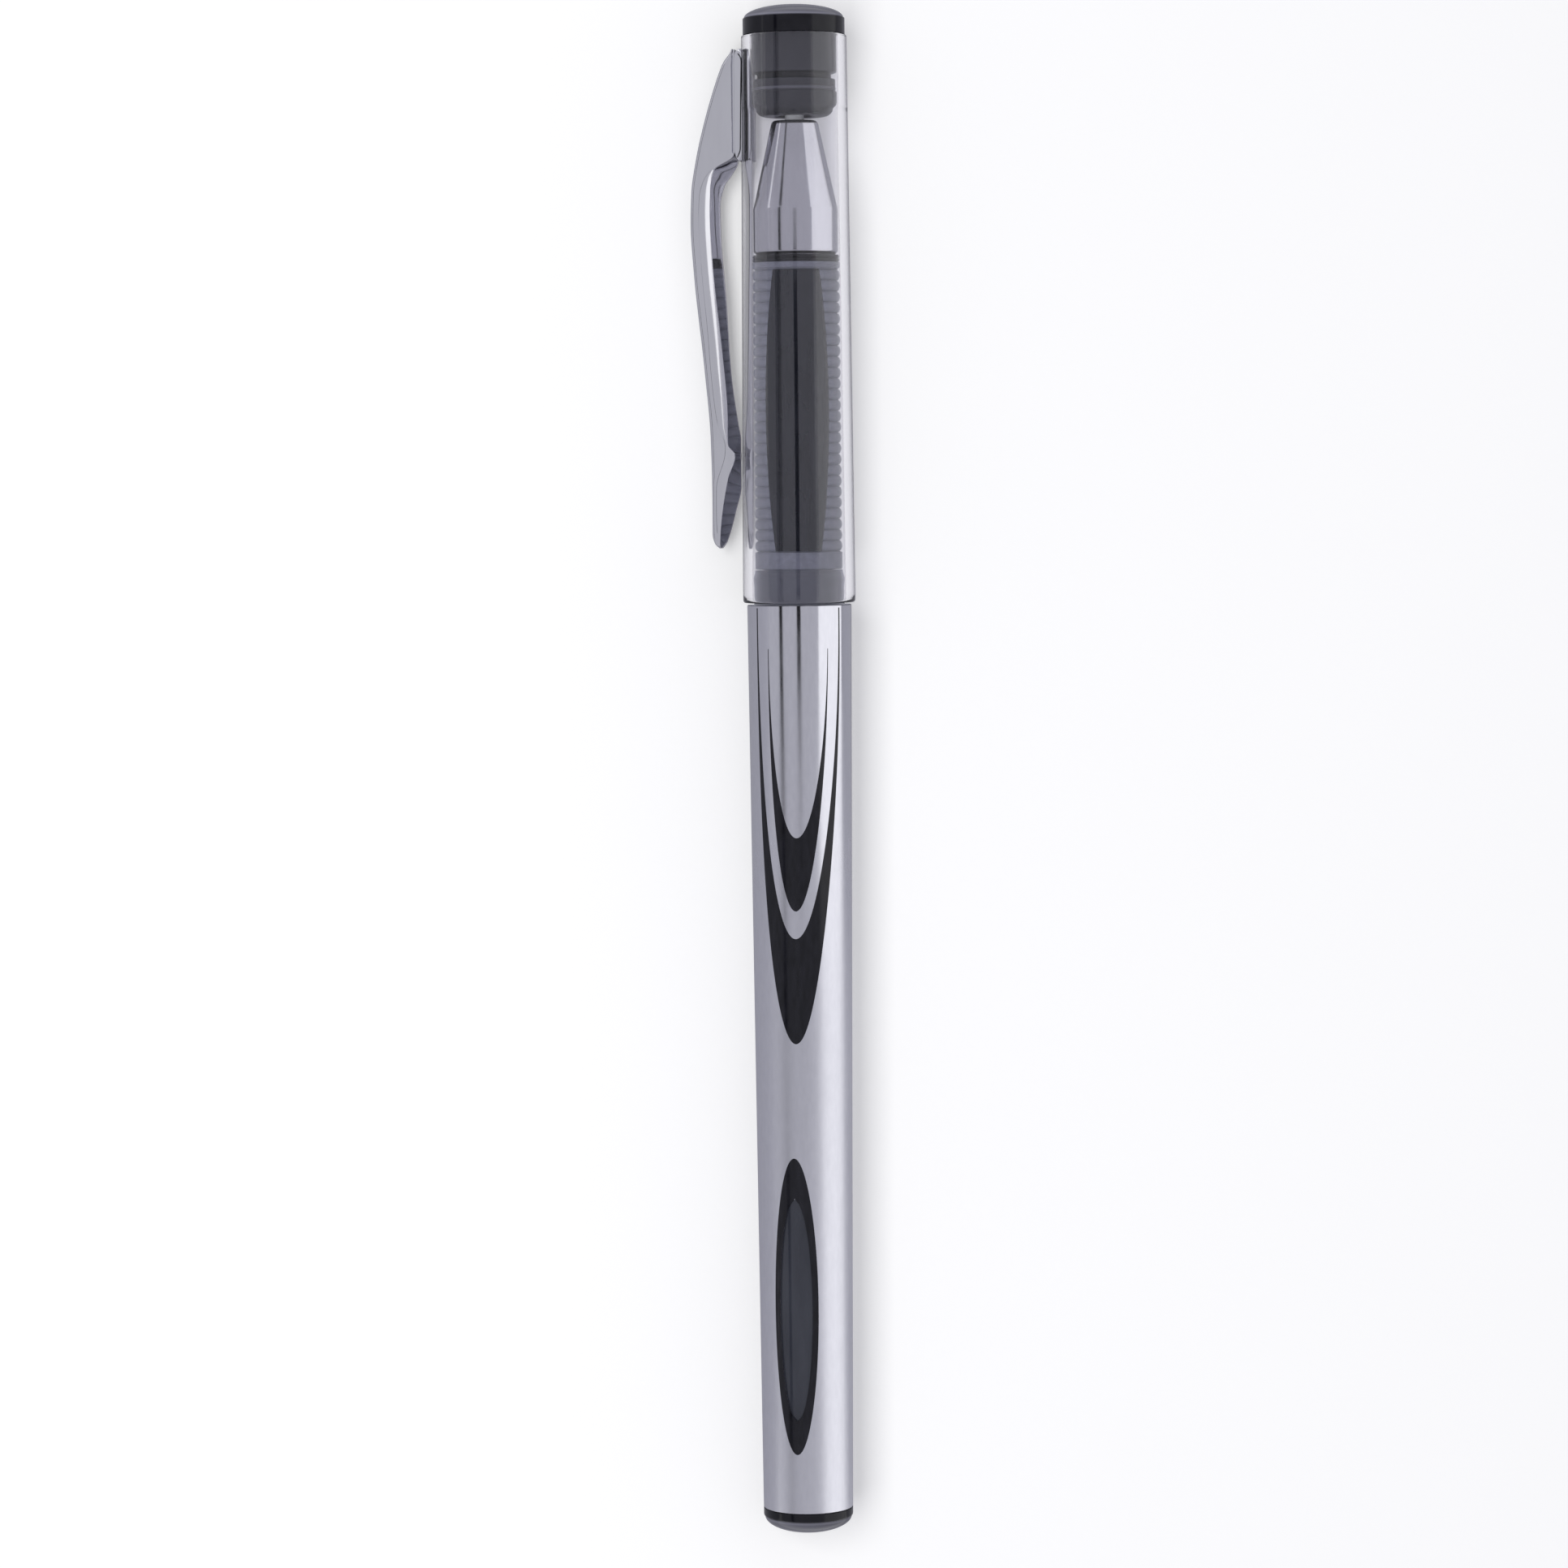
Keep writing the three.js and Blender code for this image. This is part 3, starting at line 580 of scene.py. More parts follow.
SEAL = plain_plastic("seal_rubber", (0.40, 0.39, 0.36), (0.50, 0.49, 0.45), 0.6, 0.8)
INK = plain_plastic("gel_ink", (0.004, 0.004, 0.007), (0.010, 0.010, 0.016), 0.12, 0.25)
FOLLOWER = plain_plastic("follower_grease", (0.60, 0.54, 0.35), (0.74, 0.68, 0.48), 0.12, 0.3)
CARD = card_black("shade_card")
SOFTBOX = card_black("softbox_glow")
add_glow(SOFTBOX, (1.0, 1.0, 1.03), 1.05)


# ---- Cap ----


def make_cap():
    mouth, top = span("cap_body")
    mouth_radius = outer("cap_body")
    top_radius = max(r for s, r in cad_rings("cap_body") if s > top - 0.4)
    bore_mouth = inner("cap_body", mouth + 0.45)
    step = next(s for s, _ in cad_rings("cap_body") if top - 20 < s < top - 1)
    narrow, wide = sorted(set(radii_at("cap_body", step)))[:2]
    profile = [
        (mouth, bore_mouth + 0.12, 0.08), (mouth, mouth_radius - 0.02, CAP_LIP_ROUND),
        (mouth + 1.2, mouth_radius), (top, top_radius, CAP_TOP_ROUND), (top, wide, 0.08),
        (step + 0.5, wide, 0.15), (step, narrow, 0.15), (mouth + 0.7, bore_mouth, 0.2),
    ]
    turned_piece("clear_cap", profile, CLEAR, "cap", "cap_body", 192)


PLUG_BEAD_STATION = 2.6  # of the fine bead, from the stem's end
PLUG_BED = 0.14  # depth of the bed that the bead lies in
PLUG_GROOVE = 0.55  # depth of the groove beside the bed
PLUG_STEM_ROUND = 0.85  # of the stem's end
RIM_INSET = 0.12  # from a plug's edge to its dome's edge


def make_cap_plug():
    stem_end, dome_top = span("cap_plug")
    _, cap_top = span("cap_body")
    base = cap_top + 0.05
    rim = max(stations_at("cap_plug", outer("cap_plug")))
    radius = outer("cap_plug", rim)
    stem = max(r for s, r in cad_rings("cap_plug") if s < cap_top - 0.5)
    recess = min(radii_at("cap_plug", stem_end))
    recess_top = max(stations_at("cap_plug", recess))
    bead = PLUG_BEAD_STATION + stem_end
    bed, groove = stem - PLUG_BED, stem - PLUG_GROOVE
    profile = [
        (recess_top, 0.0), (recess_top, recess, 0.2), (stem_end + 0.25, recess, 0.2),
        (stem_end, recess + 0.35, 0.2), (stem_end, stem - PLUG_STEM_ROUND, 0.35),
        (stem_end + PLUG_STEM_ROUND, stem, 0.55), (bead - 0.34, stem, 0.1), (bead - 0.2, bed, 0.05),
        (bead - 0.08, bed, 0.02), (bead, stem - 0.06, 0.05), (bead + 0.08, bed, 0.02),
        (bead + 0.9, bed, 0.1), (bead + 1.0, groove, 0.1), (bead + 1.45, groove, 0.1),
        (bead + 1.55, stem, 0.08), (base, stem, 0.04), (base, radius, 0.06),
        (rim - 0.05, radius, 0.3),
    ]
    points = rounded(profile) + dome(rim, radius - RIM_INSET, dome_top - rim, 1)
    # Painted light on the black plug, as paler steps along it: painted shade in the groove and at the stem's
    # end, a painted highlight along the bead, a faint painted reflection on the rest of the stem, and a
    # painted reflection over the dome with a brighter painted highlight line at its rim.
    painted_light_bands = [(stem_end, 0.004), (stem_end + 0.8, 0.022), (bead - 0.3, 0.022), (bead - 0.2, 0.012)]
    painted_light_bands += [(bead - 0.06, 0.10), (bead + 0.06, 0.10), (bead + 0.2, 0.022), (bead + 0.9, 0.03)]
    painted_light_bands += [(bead + 1.0, 0.0), (bead + 1.5, 0.0), (bead + 1.6, 0.028), (base - 0.1, 0.022), (base, 0.0)]
    painted_light_bands += [(rim - 0.05, 0.0), (rim + 0.1, 0.2), (rim + 0.3, 0.12), (dome_top, 0.12)]
    shaded = paler_along(black_gloss("plug_black"), painted_light_bands)
    to_object(turned(points), "cap_end_plug", shaded, "cap", ["cap_plug"])


def make_seal():
    start, end = span("tip_seal")
    radius = outer("tip_seal")
    profile = [(start, 0.0), (start, radius, 0.15), (end, radius, 0.15), (end, 0.0)]
    turned_piece("seal_pad", profile, SEAL, "seal", "tip_seal", SMALL_SEGMENTS)


# ---- Clip ----

CLIP_HALF_WIDTH = 1.5
CLIP_EDGE = 0.33  # rounding of the outer edges
CLIP_CROWN = 0.1  # rise of the outer face's middle above its edges
FACET_ROUND = 0.05  # half the rounding between two facets
ARM_FACET_ANGLE = 30.5  # degrees, of the second facet from the side face, on the arm
FOOT_FACET_ANGLE = 23.0
FOOT_START = 38.6
UNDERCUT_END = 10.2  # the fin stands on the base down to this setback
UNDERCUT_HEIGHT = 0.2
UNDERCUT_DEPTH = 0.4
THIRD_FACET_SLOPE = math.tan(math.radians(62))
KEEL_HALF_WIDTH = 0.15
TOE_TAPER_START = 46.9
CLIP_STEP = 0.2  # between rings, along the clip

# Heights above the pen's axis, against the setback from the clip's head end
CLIP_OUTER = [(0.0, 6.02), (1.2, 6.74), (2.8, 7.40), (7.5, 8.84), (10.7, 9.58), (13.9, 10.07)]
CLIP_OUTER += [(17.0, 10.165), (21.8, 9.89), (31.4, 8.92), (37.8, 8.42), (44.2, 8.30), (47.2, 8.32)]
CLIP_OUTER += [(48.1, 8.12), (48.5, 7.74)]
SIDE_FACE_END = [(10.2, 5.76), (11.7, 8.0), (12.8, 8.8), (14.3, 9.2), (16.5, 9.29), (21.5, 9.03)]
SIDE_FACE_END += [(27.1, 8.54), (32.0, 8.18), (36.0, 7.7), (38.6, 6.9), (39.4, 6.96), (42.6, 7.83)]
SIDE_FACE_END += [(45.5, 7.86), (48.5, 7.66)]
SECOND_FACET_END = [(10.2, 5.76), (11.7, 7.7), (13.5, 8.18), (16.0, 8.27), (20.5, 8.06), (29.5, 7.19)]
SECOND_FACET_END += [(34.9, 6.75), (38.4, 6.66), (39.4, 6.0), (41.8, 6.76), (46.3, 7.46), (48.5, 7.6)]
CLIP_INNER = [(10.2, 5.76), (10.9, 5.6), (12.05, 6.16), (13.2, 6.97), (15.2, 7.4), (18.6, 7.33)]
CLIP_INNER += [(23.7, 6.95), (31.4, 6.5), (36.4, 5.85), (37.9, 5.62), (42.4, 5.62), (44.8, 6.15)]
CLIP_INNER += [(47.8, 7.05), (48.5, 7.55)]


def through(knots, value):
    """A smooth curve through (setback, height) knots, flat outside them, without overshoot."""
    if value <= knots[0][0]:
        return knots[0][1]
    if value >= knots[-1][0]:
        return knots[-1][1]
    i = next(k for k in range(len(knots) - 1) if value <= knots[k + 1][0])
    slopes = [knot_slope(knots, i), knot_slope(knots, i + 1)]
    (x0, y0), (x1, y1) = knots[i], knots[i + 1]
    width = x1 - x0
    t = (value - x0) / width
    rise = y0 * (2 * t**3 - 3 * t**2 + 1) + y1 * (3 * t**2 - 2 * t**3)
    return rise + width * (slopes[0] * (t**3 - 2 * t**2 + t) + slopes[1] * (t**3 - t**2))


def knot_slope(knots, i):
    if i == 0:
        return 0.0
    before = (knots[i][1] - knots[i - 1][1]) / (knots[i][0] - knots[i - 1][0])
    if i == len(knots) - 1:
        return before
    after = (knots[i + 1][1] - knots[i][1]) / (knots[i + 1][0] - knots[i][0])
    if before * after <= 0:
        return 0.0
    return 2 * before * after / (before + after)


def clip_section(setback):
    """Half of the clip's section at one setback, as (height, half-width) from the top's middle down."""
    inner_height = through(CLIP_INNER, setback)
    second_end = max(inner_height, through(SECOND_FACET_END, setback))
    side_end = max(second_end, through(SIDE_FACE_END, setback))
    top = max(through(CLIP_OUTER, setback), side_end + 0.02)
    taper = min(1.0, 0.7 + 0.3 * setback / 1.5)
    if setback > TOE_TAPER_START:
        taper = math.sqrt(max(0.12, 1 - ((setback - TOE_TAPER_START) / 1.75) ** 2))
    width = CLIP_HALF_WIDTH * taper
    edge = min(CLIP_EDGE, (top - side_end) * 0.45)
    points = [(top, 0.0), (top - CLIP_CROWN * 0.3 * edge / CLIP_EDGE, width * 0.45)]
    for step in range(5):
        angle = math.pi / 2 * (0.12 + 0.88 * step / 4)
        points.append((top - edge * (1 - math.cos(angle)), width - edge * (1 - math.sin(angle))))
    if setback < UNDERCUT_END:
        return points + undercut(inner_height, width)
    facet = mix(ARM_FACET_ANGLE, FOOT_FACET_ANGLE, smooth(FOOT_START - 0.6, FOOT_START + 0.6, setback))
    slope = math.tan(math.radians(facet))
    second_width = max(KEEL_HALF_WIDTH, width - (side_end - second_end) * slope)
    keel = max(KEEL_HALF_WIDTH, second_width - (second_end - inner_height) * THIRD_FACET_SLOPE)
    down = min(FACET_ROUND, (side_end - second_end) * 0.3)
    lower = min(FACET_ROUND, (second_end - inner_height) * 0.3)
    return points + [
        (side_end + min(FACET_ROUND, (top - side_end) * 0.3), width),
        (side_end, width - down * slope * 0.35), (side_end - down, width - down * slope),
        (second_end + down, second_width + down * slope), (second_end, second_width - down * 0.15),
        (second_end - lower, max(keel, second_width - lower * THIRD_FACET_SLOPE)),
        (inner_height + lower, keel + lower * 0.5 if second_width - keel > 0.1 else keel),
        (inner_height, keel),
    ]


def undercut(bottom, width):
    """The fin's lower edge, with the shadow gap above the base. It has the rest of a section's points."""
    lip = bottom + UNDERCUT_HEIGHT
    neck = width - UNDERCUT_DEPTH
    drop = 0.03
    points = [(lip + drop, width), (lip + drop / 2, width - drop * 0.3), (lip, width - drop)]
    points += [(lip, mix(width, neck, 0.6)), (lip - drop, neck + drop), (lip - 2 * drop, neck)]
    return points + [(bottom + drop, neck), (bottom, neck)]


def make_clip():
    """The clip: flat sides, a turned second facet and a keeled underside, from the head to the toe."""
    _, head = span("pocket_clip")
    length = CLIP_OUTER[-1][0]
    count = round(length / CLIP_STEP)
    bm = bmesh.new()
    rings = []
    for i in range(count + 1):
        setback = length * i / count
        rings.append(mirrored_ring(bm, head - setback, clip_section(setback)))
    skin(bm, rings)
    to_object(bm, "chrome_clip", CHROME, "clip", ["pocket_clip"], math.radians(50))


BASE_TOP = 5.72  # above the axis
BASE_HALF_WIDTH = 1.46
SKIRT_ANGLE = math.radians(17.5)  # how far round the cap the skirt reaches
SKIRT_GAP = 0.03
BASE_STEPS = 60  # between rings, along the base
BASE_END_ROUND = 1.1


def base_section(wall, end_share):
    """Half of the clip base's section: a flat top and a concave skirt that hugs the cap's wall."""
    top = mix(wall + 0.12, BASE_TOP, end_share)
    width = BASE_HALF_WIDTH * mix(0.75, 1.0, end_share)
    hug = wall + SKIRT_GAP
    foot = hug * math.cos(SKIRT_ANGLE), hug * math.sin(SKIRT_ANGLE)
    points = [(top, 0.0), (top, width - 0.06), (top - 0.03, width)]
    pull = (mix(top, foot[0], 0.72), width + 0.04)
    for step in range(1, 11):
        t = step / 10
        h = (top - 0.03) * (1 - t) ** 2 + pull[0] * 2 * t * (1 - t) + foot[0] * t * t
        w = width * (1 - t) ** 2 + pull[1] * 2 * t * (1 - t) + foot[1] * t * t
        points.append((h, w))
    for step in range(1, 5):
        angle = SKIRT_ANGLE * (1 - step / 5)
        points.append((hug * math.cos(angle), hug * math.sin(angle)))
    return points + [(hug, 0.0)]


def cap_wall_radius(station):
    mouth, top = span("cap_body")
    top_radius = max(r for s, r in cad_rings("cap_body") if s > top - 0.4)
    share = (station - mouth) / (top - mouth)
    return mix(outer("cap_body"), top_radius, share)


def make_clip_base():
    rear, head = span("clip_base")
    bm = bmesh.new()
    rings = []
    for i in range(BASE_STEPS + 1):
        station = mix(rear, head, i / BASE_STEPS)
        from_end = min(station - rear, head - station)
        share = math.sqrt(max(0.02, 1 - (1 - min(1.0, from_end / BASE_END_ROUND)) ** 2))
        rings.append(mirrored_ring(bm, station, base_section(cap_wall_radius(station), share)))
    skin(bm, rings)
    to_object(bm, "clip_seat", CHROME, "cap", ["clip_base"], math.radians(40))


# ---- Nose ----

COLLAR_LINE = 0.16  # width of the fine step between the collar and the cone
THREAD_DEPTH = 0.22
THREAD_PITCH = 1.0


def make_nose():
    rear, front = span("nose_cone")
    collar_radius = outer("nose_cone")
    collar_rear = min(stations_at("nose_cone", collar_radius))
    cone_start = max(stations_at("nose_cone", collar_radius))
    front_radius = max(radii_at("nose_cone", front))
    front_bore = min(radii_at("nose_cone", front))
    thread_radius = max(radii_at("nose_cone", rear))
    thread_bore = min(radii_at("nose_cone", rear))
    land_rear = min(stations_at("nose_cone", front_bore))
    thread_root = thread_radius - THREAD_DEPTH
    profile = [(rear, thread_bore, 0.08), (rear, thread_radius - 0.2), (rear + 0.2, thread_radius)]
    crest = rear + 0.5
    while crest < collar_rear - 1.2:
        profile += [(crest, thread_radius, 0.1), (crest + 0.3, thread_root, 0.1)]
        profile += [(crest + 0.45, thread_root, 0.1), (crest + 0.75, thread_radius, 0.1)]
        crest += THREAD_PITCH
    profile += [
        (collar_rear, thread_radius), (collar_rear, collar_radius - 0.28, 0.1),
        (collar_rear + 0.3, collar_radius, 0.1), (cone_start - COLLAR_LINE, collar_radius, 0.05),
        (cone_start, collar_radius - 0.05, 0.05), (front - 0.2, front_radius + 0.235, 0.25),
        (front, front_radius, 0.15), (front, front_bore, 0.06), (land_rear, front_bore),
        (cone_start, thread_bore),
    ]
    turned_piece("nose_shell", profile, NOSE_METAL, "nose", "nose_cone")


def make_washer():
    rear, front = span("nose_washer")
    radius, bore = outer("nose_washer"), inner("nose_washer")
    middle = (rear + front) / 2
    profile = [
        (rear, bore), (rear, radius - 0.06, 0.08), (middle - 0.07, radius, 0.1),
        (middle, radius - 0.16, 0.04), (middle + 0.07, radius, 0.1), (front, radius - 0.1, 0.08),
        (front, bore),
    ]
    turned_piece("nose_ring", profile, BLACK, "nose", "nose_washer")


# ---- Barrel ----


def make_barrel():
    rear, front = span("barrel")
    shoulder = span("barrel_film")[1]
    step = shoulder + SHOULDER_EXTRA
    rings = cad_rings("barrel")
    neck_rings = [r for s, r in rings if s > front - 0.1]
    neck_bore, neck_radius = min(neck_rings), max(neck_rings)
    low_end = span("grip_sleeve")[0] - 0.07
    collar = max(r for s, r in rings if shoulder + 0.5 < s < shoulder + 2.5)
    snap_station = next(s for s, r in rings if r > collar + 0.05 and s > shoulder + 1)
    snap = outer("barrel", snap_station)
    past_snap = [r for s, r in rings if snap_station + 0.2 < s < snap_station + 1]
    low = min(r for r in past_snap if r > neck_radius + 0.3)
    rear_radii = radii_at("barrel", rear)
    throat = max(s for s, r in rings if rear + 1 < s < shoulder - 1)
    profile = [
        (rear, min(rear_radii), 0.05), (rear, max(rear_radii), 0.05),
        (step, outer("barrel", shoulder), 0.06), (step, collar + 0.1, 0.08),
        (step + 0.1, collar, 0.1), (snap_station - 0.7, collar, 0.25),
        (snap_station, snap - 0.01, 0.35), (snap_station + 0.55, low, 0.25), (low_end, low, 0.08),
        (low_end, neck_radius), (front, neck_radius, 0.05), (front, neck_bore, 0.05),
        (shoulder, neck_bore, 0.5), (throat, inner("barrel", throat), 0.5),
    ]
    turned_piece("smoke_barrel", profile, SMOKE, "pen", "barrel")


def film_radius(station):
    start, end = span("barrel_film")
    share = (station - start) / (end - start)
    return mix(outer("barrel_film", start), outer("barrel_film", end), share)


def window_measures():
    """Centre station, half-length and half-width of the film's window."""
    start, end = span("barrel_film")
    stations, widths = [], []
    for vertex in frame["nodes"]["barrel_film"].data.vertices:
        station = (vertex.co.x - REAR_X) / MM
        if start + 0.5 < station < end - 0.5:
            offset = vertex.co - place(station, 0, 0)
            stations.append(station)
            widths.append(abs(offset.dot(tangent_at(OVAL_ANGLE))) / MM)
    low, high = min(stations), max(stations)
    return (low + high) / 2, (high - low) / 2, max(widths)


def tangent_at(angle):
    """Across the pen's surface at an angle round the axis, towards larger angles."""
    return ACROSS * math.cos(angle) - TO_CLIP * math.sin(angle)


def graded(start, end, count):
    """Stations that crowd towards both ends."""
    return [mix(start, end, (1 - math.cos(math.pi * i / count)) / 2) for i in range(count + 1)]


def make_film():
    start, end = span("barrel_film")
    end += SHOULDER_EXTRA
    thickness = outer("barrel_film", start) - inner("barrel_film", start)
    middle, half_length, half_width = window_measures()
    stations = [start, start + 0.06] + graded(start + 0.1, middle - half_length, 30)
    stations += graded(middle - half_length, middle + half_length, 90)[1:]
    stations += [mix(middle + half_length, end - 0.1, i / 80) for i in range(1, 81)] + [end - 0.05, end]
    bm = bmesh.new()
    rows = []
    for station in stations:
        radius = film_radius(station)
        inside = max(0.0, 1 - ((station - middle) / half_length) ** 2)
        opening = math.asin(half_width * math.sqrt(inside) / radius)
        drop = 0.05 if station in (start, end) else 0.0
        turn = 2 * math.pi - 2 * opening
        angles = [OVAL_ANGLE + opening + turn * k / FILM_FACES for k in range(FILM_FACES + 1)]
        row = []
        for depth in (drop, thickness):
            row.append([bm.verts.new(around(station, radius - depth, angle)) for angle in angles])
        rows.append((*row, opening > 1e-4))
    for (top_a, under_a, open_a), (top_b, under_b, open_b) in zip(rows, rows[1:]):
        for k in range(FILM_FACES):
            bm.faces.new((top_a[k], top_a[k + 1], top_b[k + 1], top_b[k]))
            bm.faces.new((under_a[k], under_b[k], under_b[k + 1], under_a[k + 1]))
        for k in (0, FILM_FACES) if open_a or open_b else ():
            bm.faces.new((top_a[k], top_b[k], under_b[k], under_a[k]))
    for top, under, _ in (rows[0], rows[-1]):
        for k in range(FILM_FACES):
            bm.faces.new((top[k], under[k], under[k + 1], top[k + 1]))
    close_seams(bm)
    to_object(bm, "silver_film", SILVER, "pen", ["barrel_film"])


def close_seams(bm):
    """Welds what meets, and drops the walls that fall between two welded edges."""
    bmesh.ops.remove_doubles(bm, verts=bm.verts, dist=1e-6)
    bmesh.ops.dissolve_degenerate(bm, edges=bm.edges, dist=1e-9)
    seen = defaultdict(list)
    for face in bm.faces:
        seen[frozenset(face.verts)].append(face)
    doubled = [face for faces in seen.values() if len(faces) > 1 for face in faces]
    bmesh.ops.delete(bm, geom=doubled, context="FACES")


def half_width_of(band, station):
    """Half-width of an ellipse (centre, half_length, half_width) at one station, 0 beyond its ends."""
    centre, half_length, half_width = band
    inside = 1 - ((station - centre) / half_length) ** 2
    return half_width * math.sqrt(inside) if inside > 0 else 0.0


def printed_band(name, outside, inside, stations, centre_angle):
    """A printed band between two ellipses, on both sides of the line that centre_angle gives."""
    bm = bmesh.new()
    for side in (-1, 1):
        rows = []
        for station in stations:
            radius = film_radius(station)
            near, far = half_width_of(inside, station), half_width_of(outside, station)
            row = []
            for k in range(BAND_FACES + 1):
                reach = min(0.999, mix(near, max(near, far), k / BAND_FACES) / radius)
                angle = centre_angle(station) - side * math.asin(reach)
                row.append(bm.verts.new(around(station, radius + PRINT_LIFT, angle)))
            rows.append(row)
        grid(bm, rows)
    bmesh.ops.remove_doubles(bm, verts=bm.verts, dist=1e-8)
    bmesh.ops.dissolve_degenerate(bm, edges=bm.edges, dist=1e-9)
    turn_outward(to_object(bm, name, PRINT, "pen"))


def turn_outward(obj):
    """Makes an open patch on the barrel face away from the axis."""
    mesh = obj.data
    bm = bmesh.new()
    bm.from_mesh(mesh)
    for face in bm.faces:
        middle = face.calc_center_median()
        away = Vector((0, middle.y - AXIS_POINT.y, middle.z - AXIS_POINT.z))
        if face.normal.dot(away) < 0:
            face.normal_flip()
    bm.to_mesh(mesh)
    bm.free()


# Outlines of the two bands: (centre station, half-length, half-width) of each ellipse
BAND_1_OUTSIDE = (90.4, 41.45, 4.02)
BAND_1_INSIDE = (91.2, 31.95, 3.93)
BAND_2_OUTSIDE = (88.5, 26.55, 2.92)
BAND_2_INSIDE = (89.0, 19.9, 2.88)
BAND_2_TOP = 87.5


def band_angle(station):
    return mix(PRINT_CENTRE_ANGLE_TIP, PRINT_CENTRE_ANGLE_MOUTH, smooth(49, 90, station))


def make_print():
    for name, outside, inside, top in (
        ("print_band_outer", BAND_1_OUTSIDE, BAND_1_INSIDE, PRINT_MOUTH_STATION),
        ("print_band_inner", BAND_2_OUTSIDE, BAND_2_INSIDE, BAND_2_TOP),
    ):
        outer_tip, inner_tip = outside[0] - outside[1], inside[0] - inside[1]
        stations = graded(outer_tip, inner_tip, 60) + graded(inner_tip, top, 130)[1:]
        printed_band(name, outside, inside, stations, band_angle)
    middle, half_length, half_width = window_measures()
    hole = (middle, half_length - 0.08, half_width - 0.07)
    ring = (OVAL_CENTRE_STATION, OVAL_HALF_LENGTH, OVAL_HALF_WIDTH)
    stations = graded(ring[0] - ring[1], ring[0] + ring[1], 150)
    printed_band("print_window_ring", ring, hole, stations, lambda station: OVAL_ANGLE)


def make_rear_plug():
    dome_top, stem_end = span("barrel_end_plug")
    barrel_rear, _ = span("barrel")
    radius = outer("barrel_end_plug")
    rim, rim_back = min(stations_at("barrel_end_plug", radius)), max(stations_at("barrel_end_plug", radius))
    stem = max(r for s, r in cad_rings("barrel_end_plug") if s > barrel_rear + 1)
    arc = dome(rim, radius - RIM_INSET, rim - dome_top, -1)
    profile = [
        (rim + 0.1, radius, 0.2), (rim_back, radius, 0.06), (rim_back, stem, 0.05),
        (stem_end, stem, 0.4), (stem_end, 0.0),
    ]
    points = list(reversed(arc)) + rounded([(rim, radius - RIM_INSET)] + profile)[1:]
    # Painted reflection over the black dome, with a brighter painted highlight line at its rim; the stem
    # stays plain black.
    painted_light_bands = [(dome_top, 0.1), (rim - 0.3, 0.1), (rim - 0.1, 0.14), (rim + 0.1, 0.0), (stem_end, 0.0)]
    shaded = paler_along(black_gloss("rear_plug_black"), painted_light_bands)
    to_object(turned(points), "rear_dome_plug", shaded, "pen", ["barrel_end_plug"])


# ---- Grip ----

RIB_ROUND = 0.55  # power that makes the ribs wide and the grooves narrow
RIB_STEPS = 10
PANEL_CENTRE_ANGLE = math.radians(98)
PANEL_END_HALF = math.radians(30)
PANEL_MIDDLE_HALF = math.radians(43)
PANEL_EDGE_DIP = 0.07
PANEL_RISE = 0.03
RIB_DEEPER = 0.1  # the grooves are cut this much below the CAD sleeve's


def panel_half_angle(share):
    return mix(PANEL_END_HALF, PANEL_MIDDLE_HALF, 1 - (2 * share - 1) ** 2)


def grip_layout():
    """Start of the ribs, their pitch and count, from the CAD sleeve's own rings."""
    start, end = span("grip_sleeve")
    crest = outer("grip_sleeve")
    rings = cad_rings("grip_sleeve")
    outside = [r for s, r in rings if start + 3 < s < end - 3 and r > inner("grip_sleeve") + 0.2]
    groove = min(outside)
    valleys = sorted({s for s, r in rings if abs(r - groove) < 0.015 and s > start + 0.1})
    pitch = Counter(round(b - a, 2) for a, b in zip(valleys, valleys[1:])).most_common(1)[0][0]
    return start, end, crest, groove, valleys[0], valleys[-2], pitch


def make_grip():
    start, end, crest, groove, ribs_start, ribs_end, pitch = grip_layout()
    bore = inner("grip_sleeve")
    stations = [start, start + 0.03, start + 0.12, start + 0.25, ribs_start - 0.3, ribs_start - 0.12]
    count = round((ribs_end - ribs_start) / pitch) * RIB_STEPS
    stations += [mix(ribs_start, ribs_end, i / count) for i in range(count + 1)]
    lip = end - 0.55
    stations += [ribs_end + 0.05, lip - 0.05, lip, lip + 0.05, end - 0.08, end - 0.02, end]
    layout = (start, end, crest, groove, ribs_start, ribs_end, pitch, lip)
    angles = [2 * math.pi * k / GRIP_SEGMENTS for k in range(GRIP_SEGMENTS)]
    bm = bmesh.new()
    rings = []
    for station in stations:
        ring = [around(station, grip_radius(station, angle, layout), angle) for angle in angles]
        rings.append([bm.verts.new(point) for point in ring])
    for station in (end, start):
        rings.append([bm.verts.new(around(station, bore, angle)) for angle in angles])
    for a, b in zip(rings, rings[1:] + rings[:1]):
        bridge(bm, a, b)
    to_object(bm, "ribbed_grip", RUBBER, "pen", ["grip_sleeve"], math.radians(60))


def make_grip_panels():
    """The two smooth lens-shaped panels, domed a little and rounded at their edges."""
    layout = grip_layout()
    crest, ribs_start, ribs_end = layout[2], layout[4], layout[5]
    for k, name in enumerate(("grip_panel_front", "grip_panel_back")):
        bm = bmesh.new()
        rows = []
        for station in graded(ribs_start + 0.02, ribs_end - 0.02, 120):
            share = (station - ribs_start) / (ribs_end - ribs_start)
            half = panel_half_angle(share)
            row = []
            for i in range(PANEL_FACES + 1):
                across = -math.cos(math.pi * i / PANEL_FACES)
                from_edge = (1 - abs(across)) * half * crest
                radius = crest + mix(-0.04, PANEL_RISE, smooth(0, 0.32, from_edge))
                angle = PANEL_CENTRE_ANGLE + k * math.pi + across * half
                row.append(bm.verts.new(around(station, radius, angle)))
            rows.append(row)
        grid(bm, rows)
        turn_outward(to_object(bm, name, PANEL, "pen"))


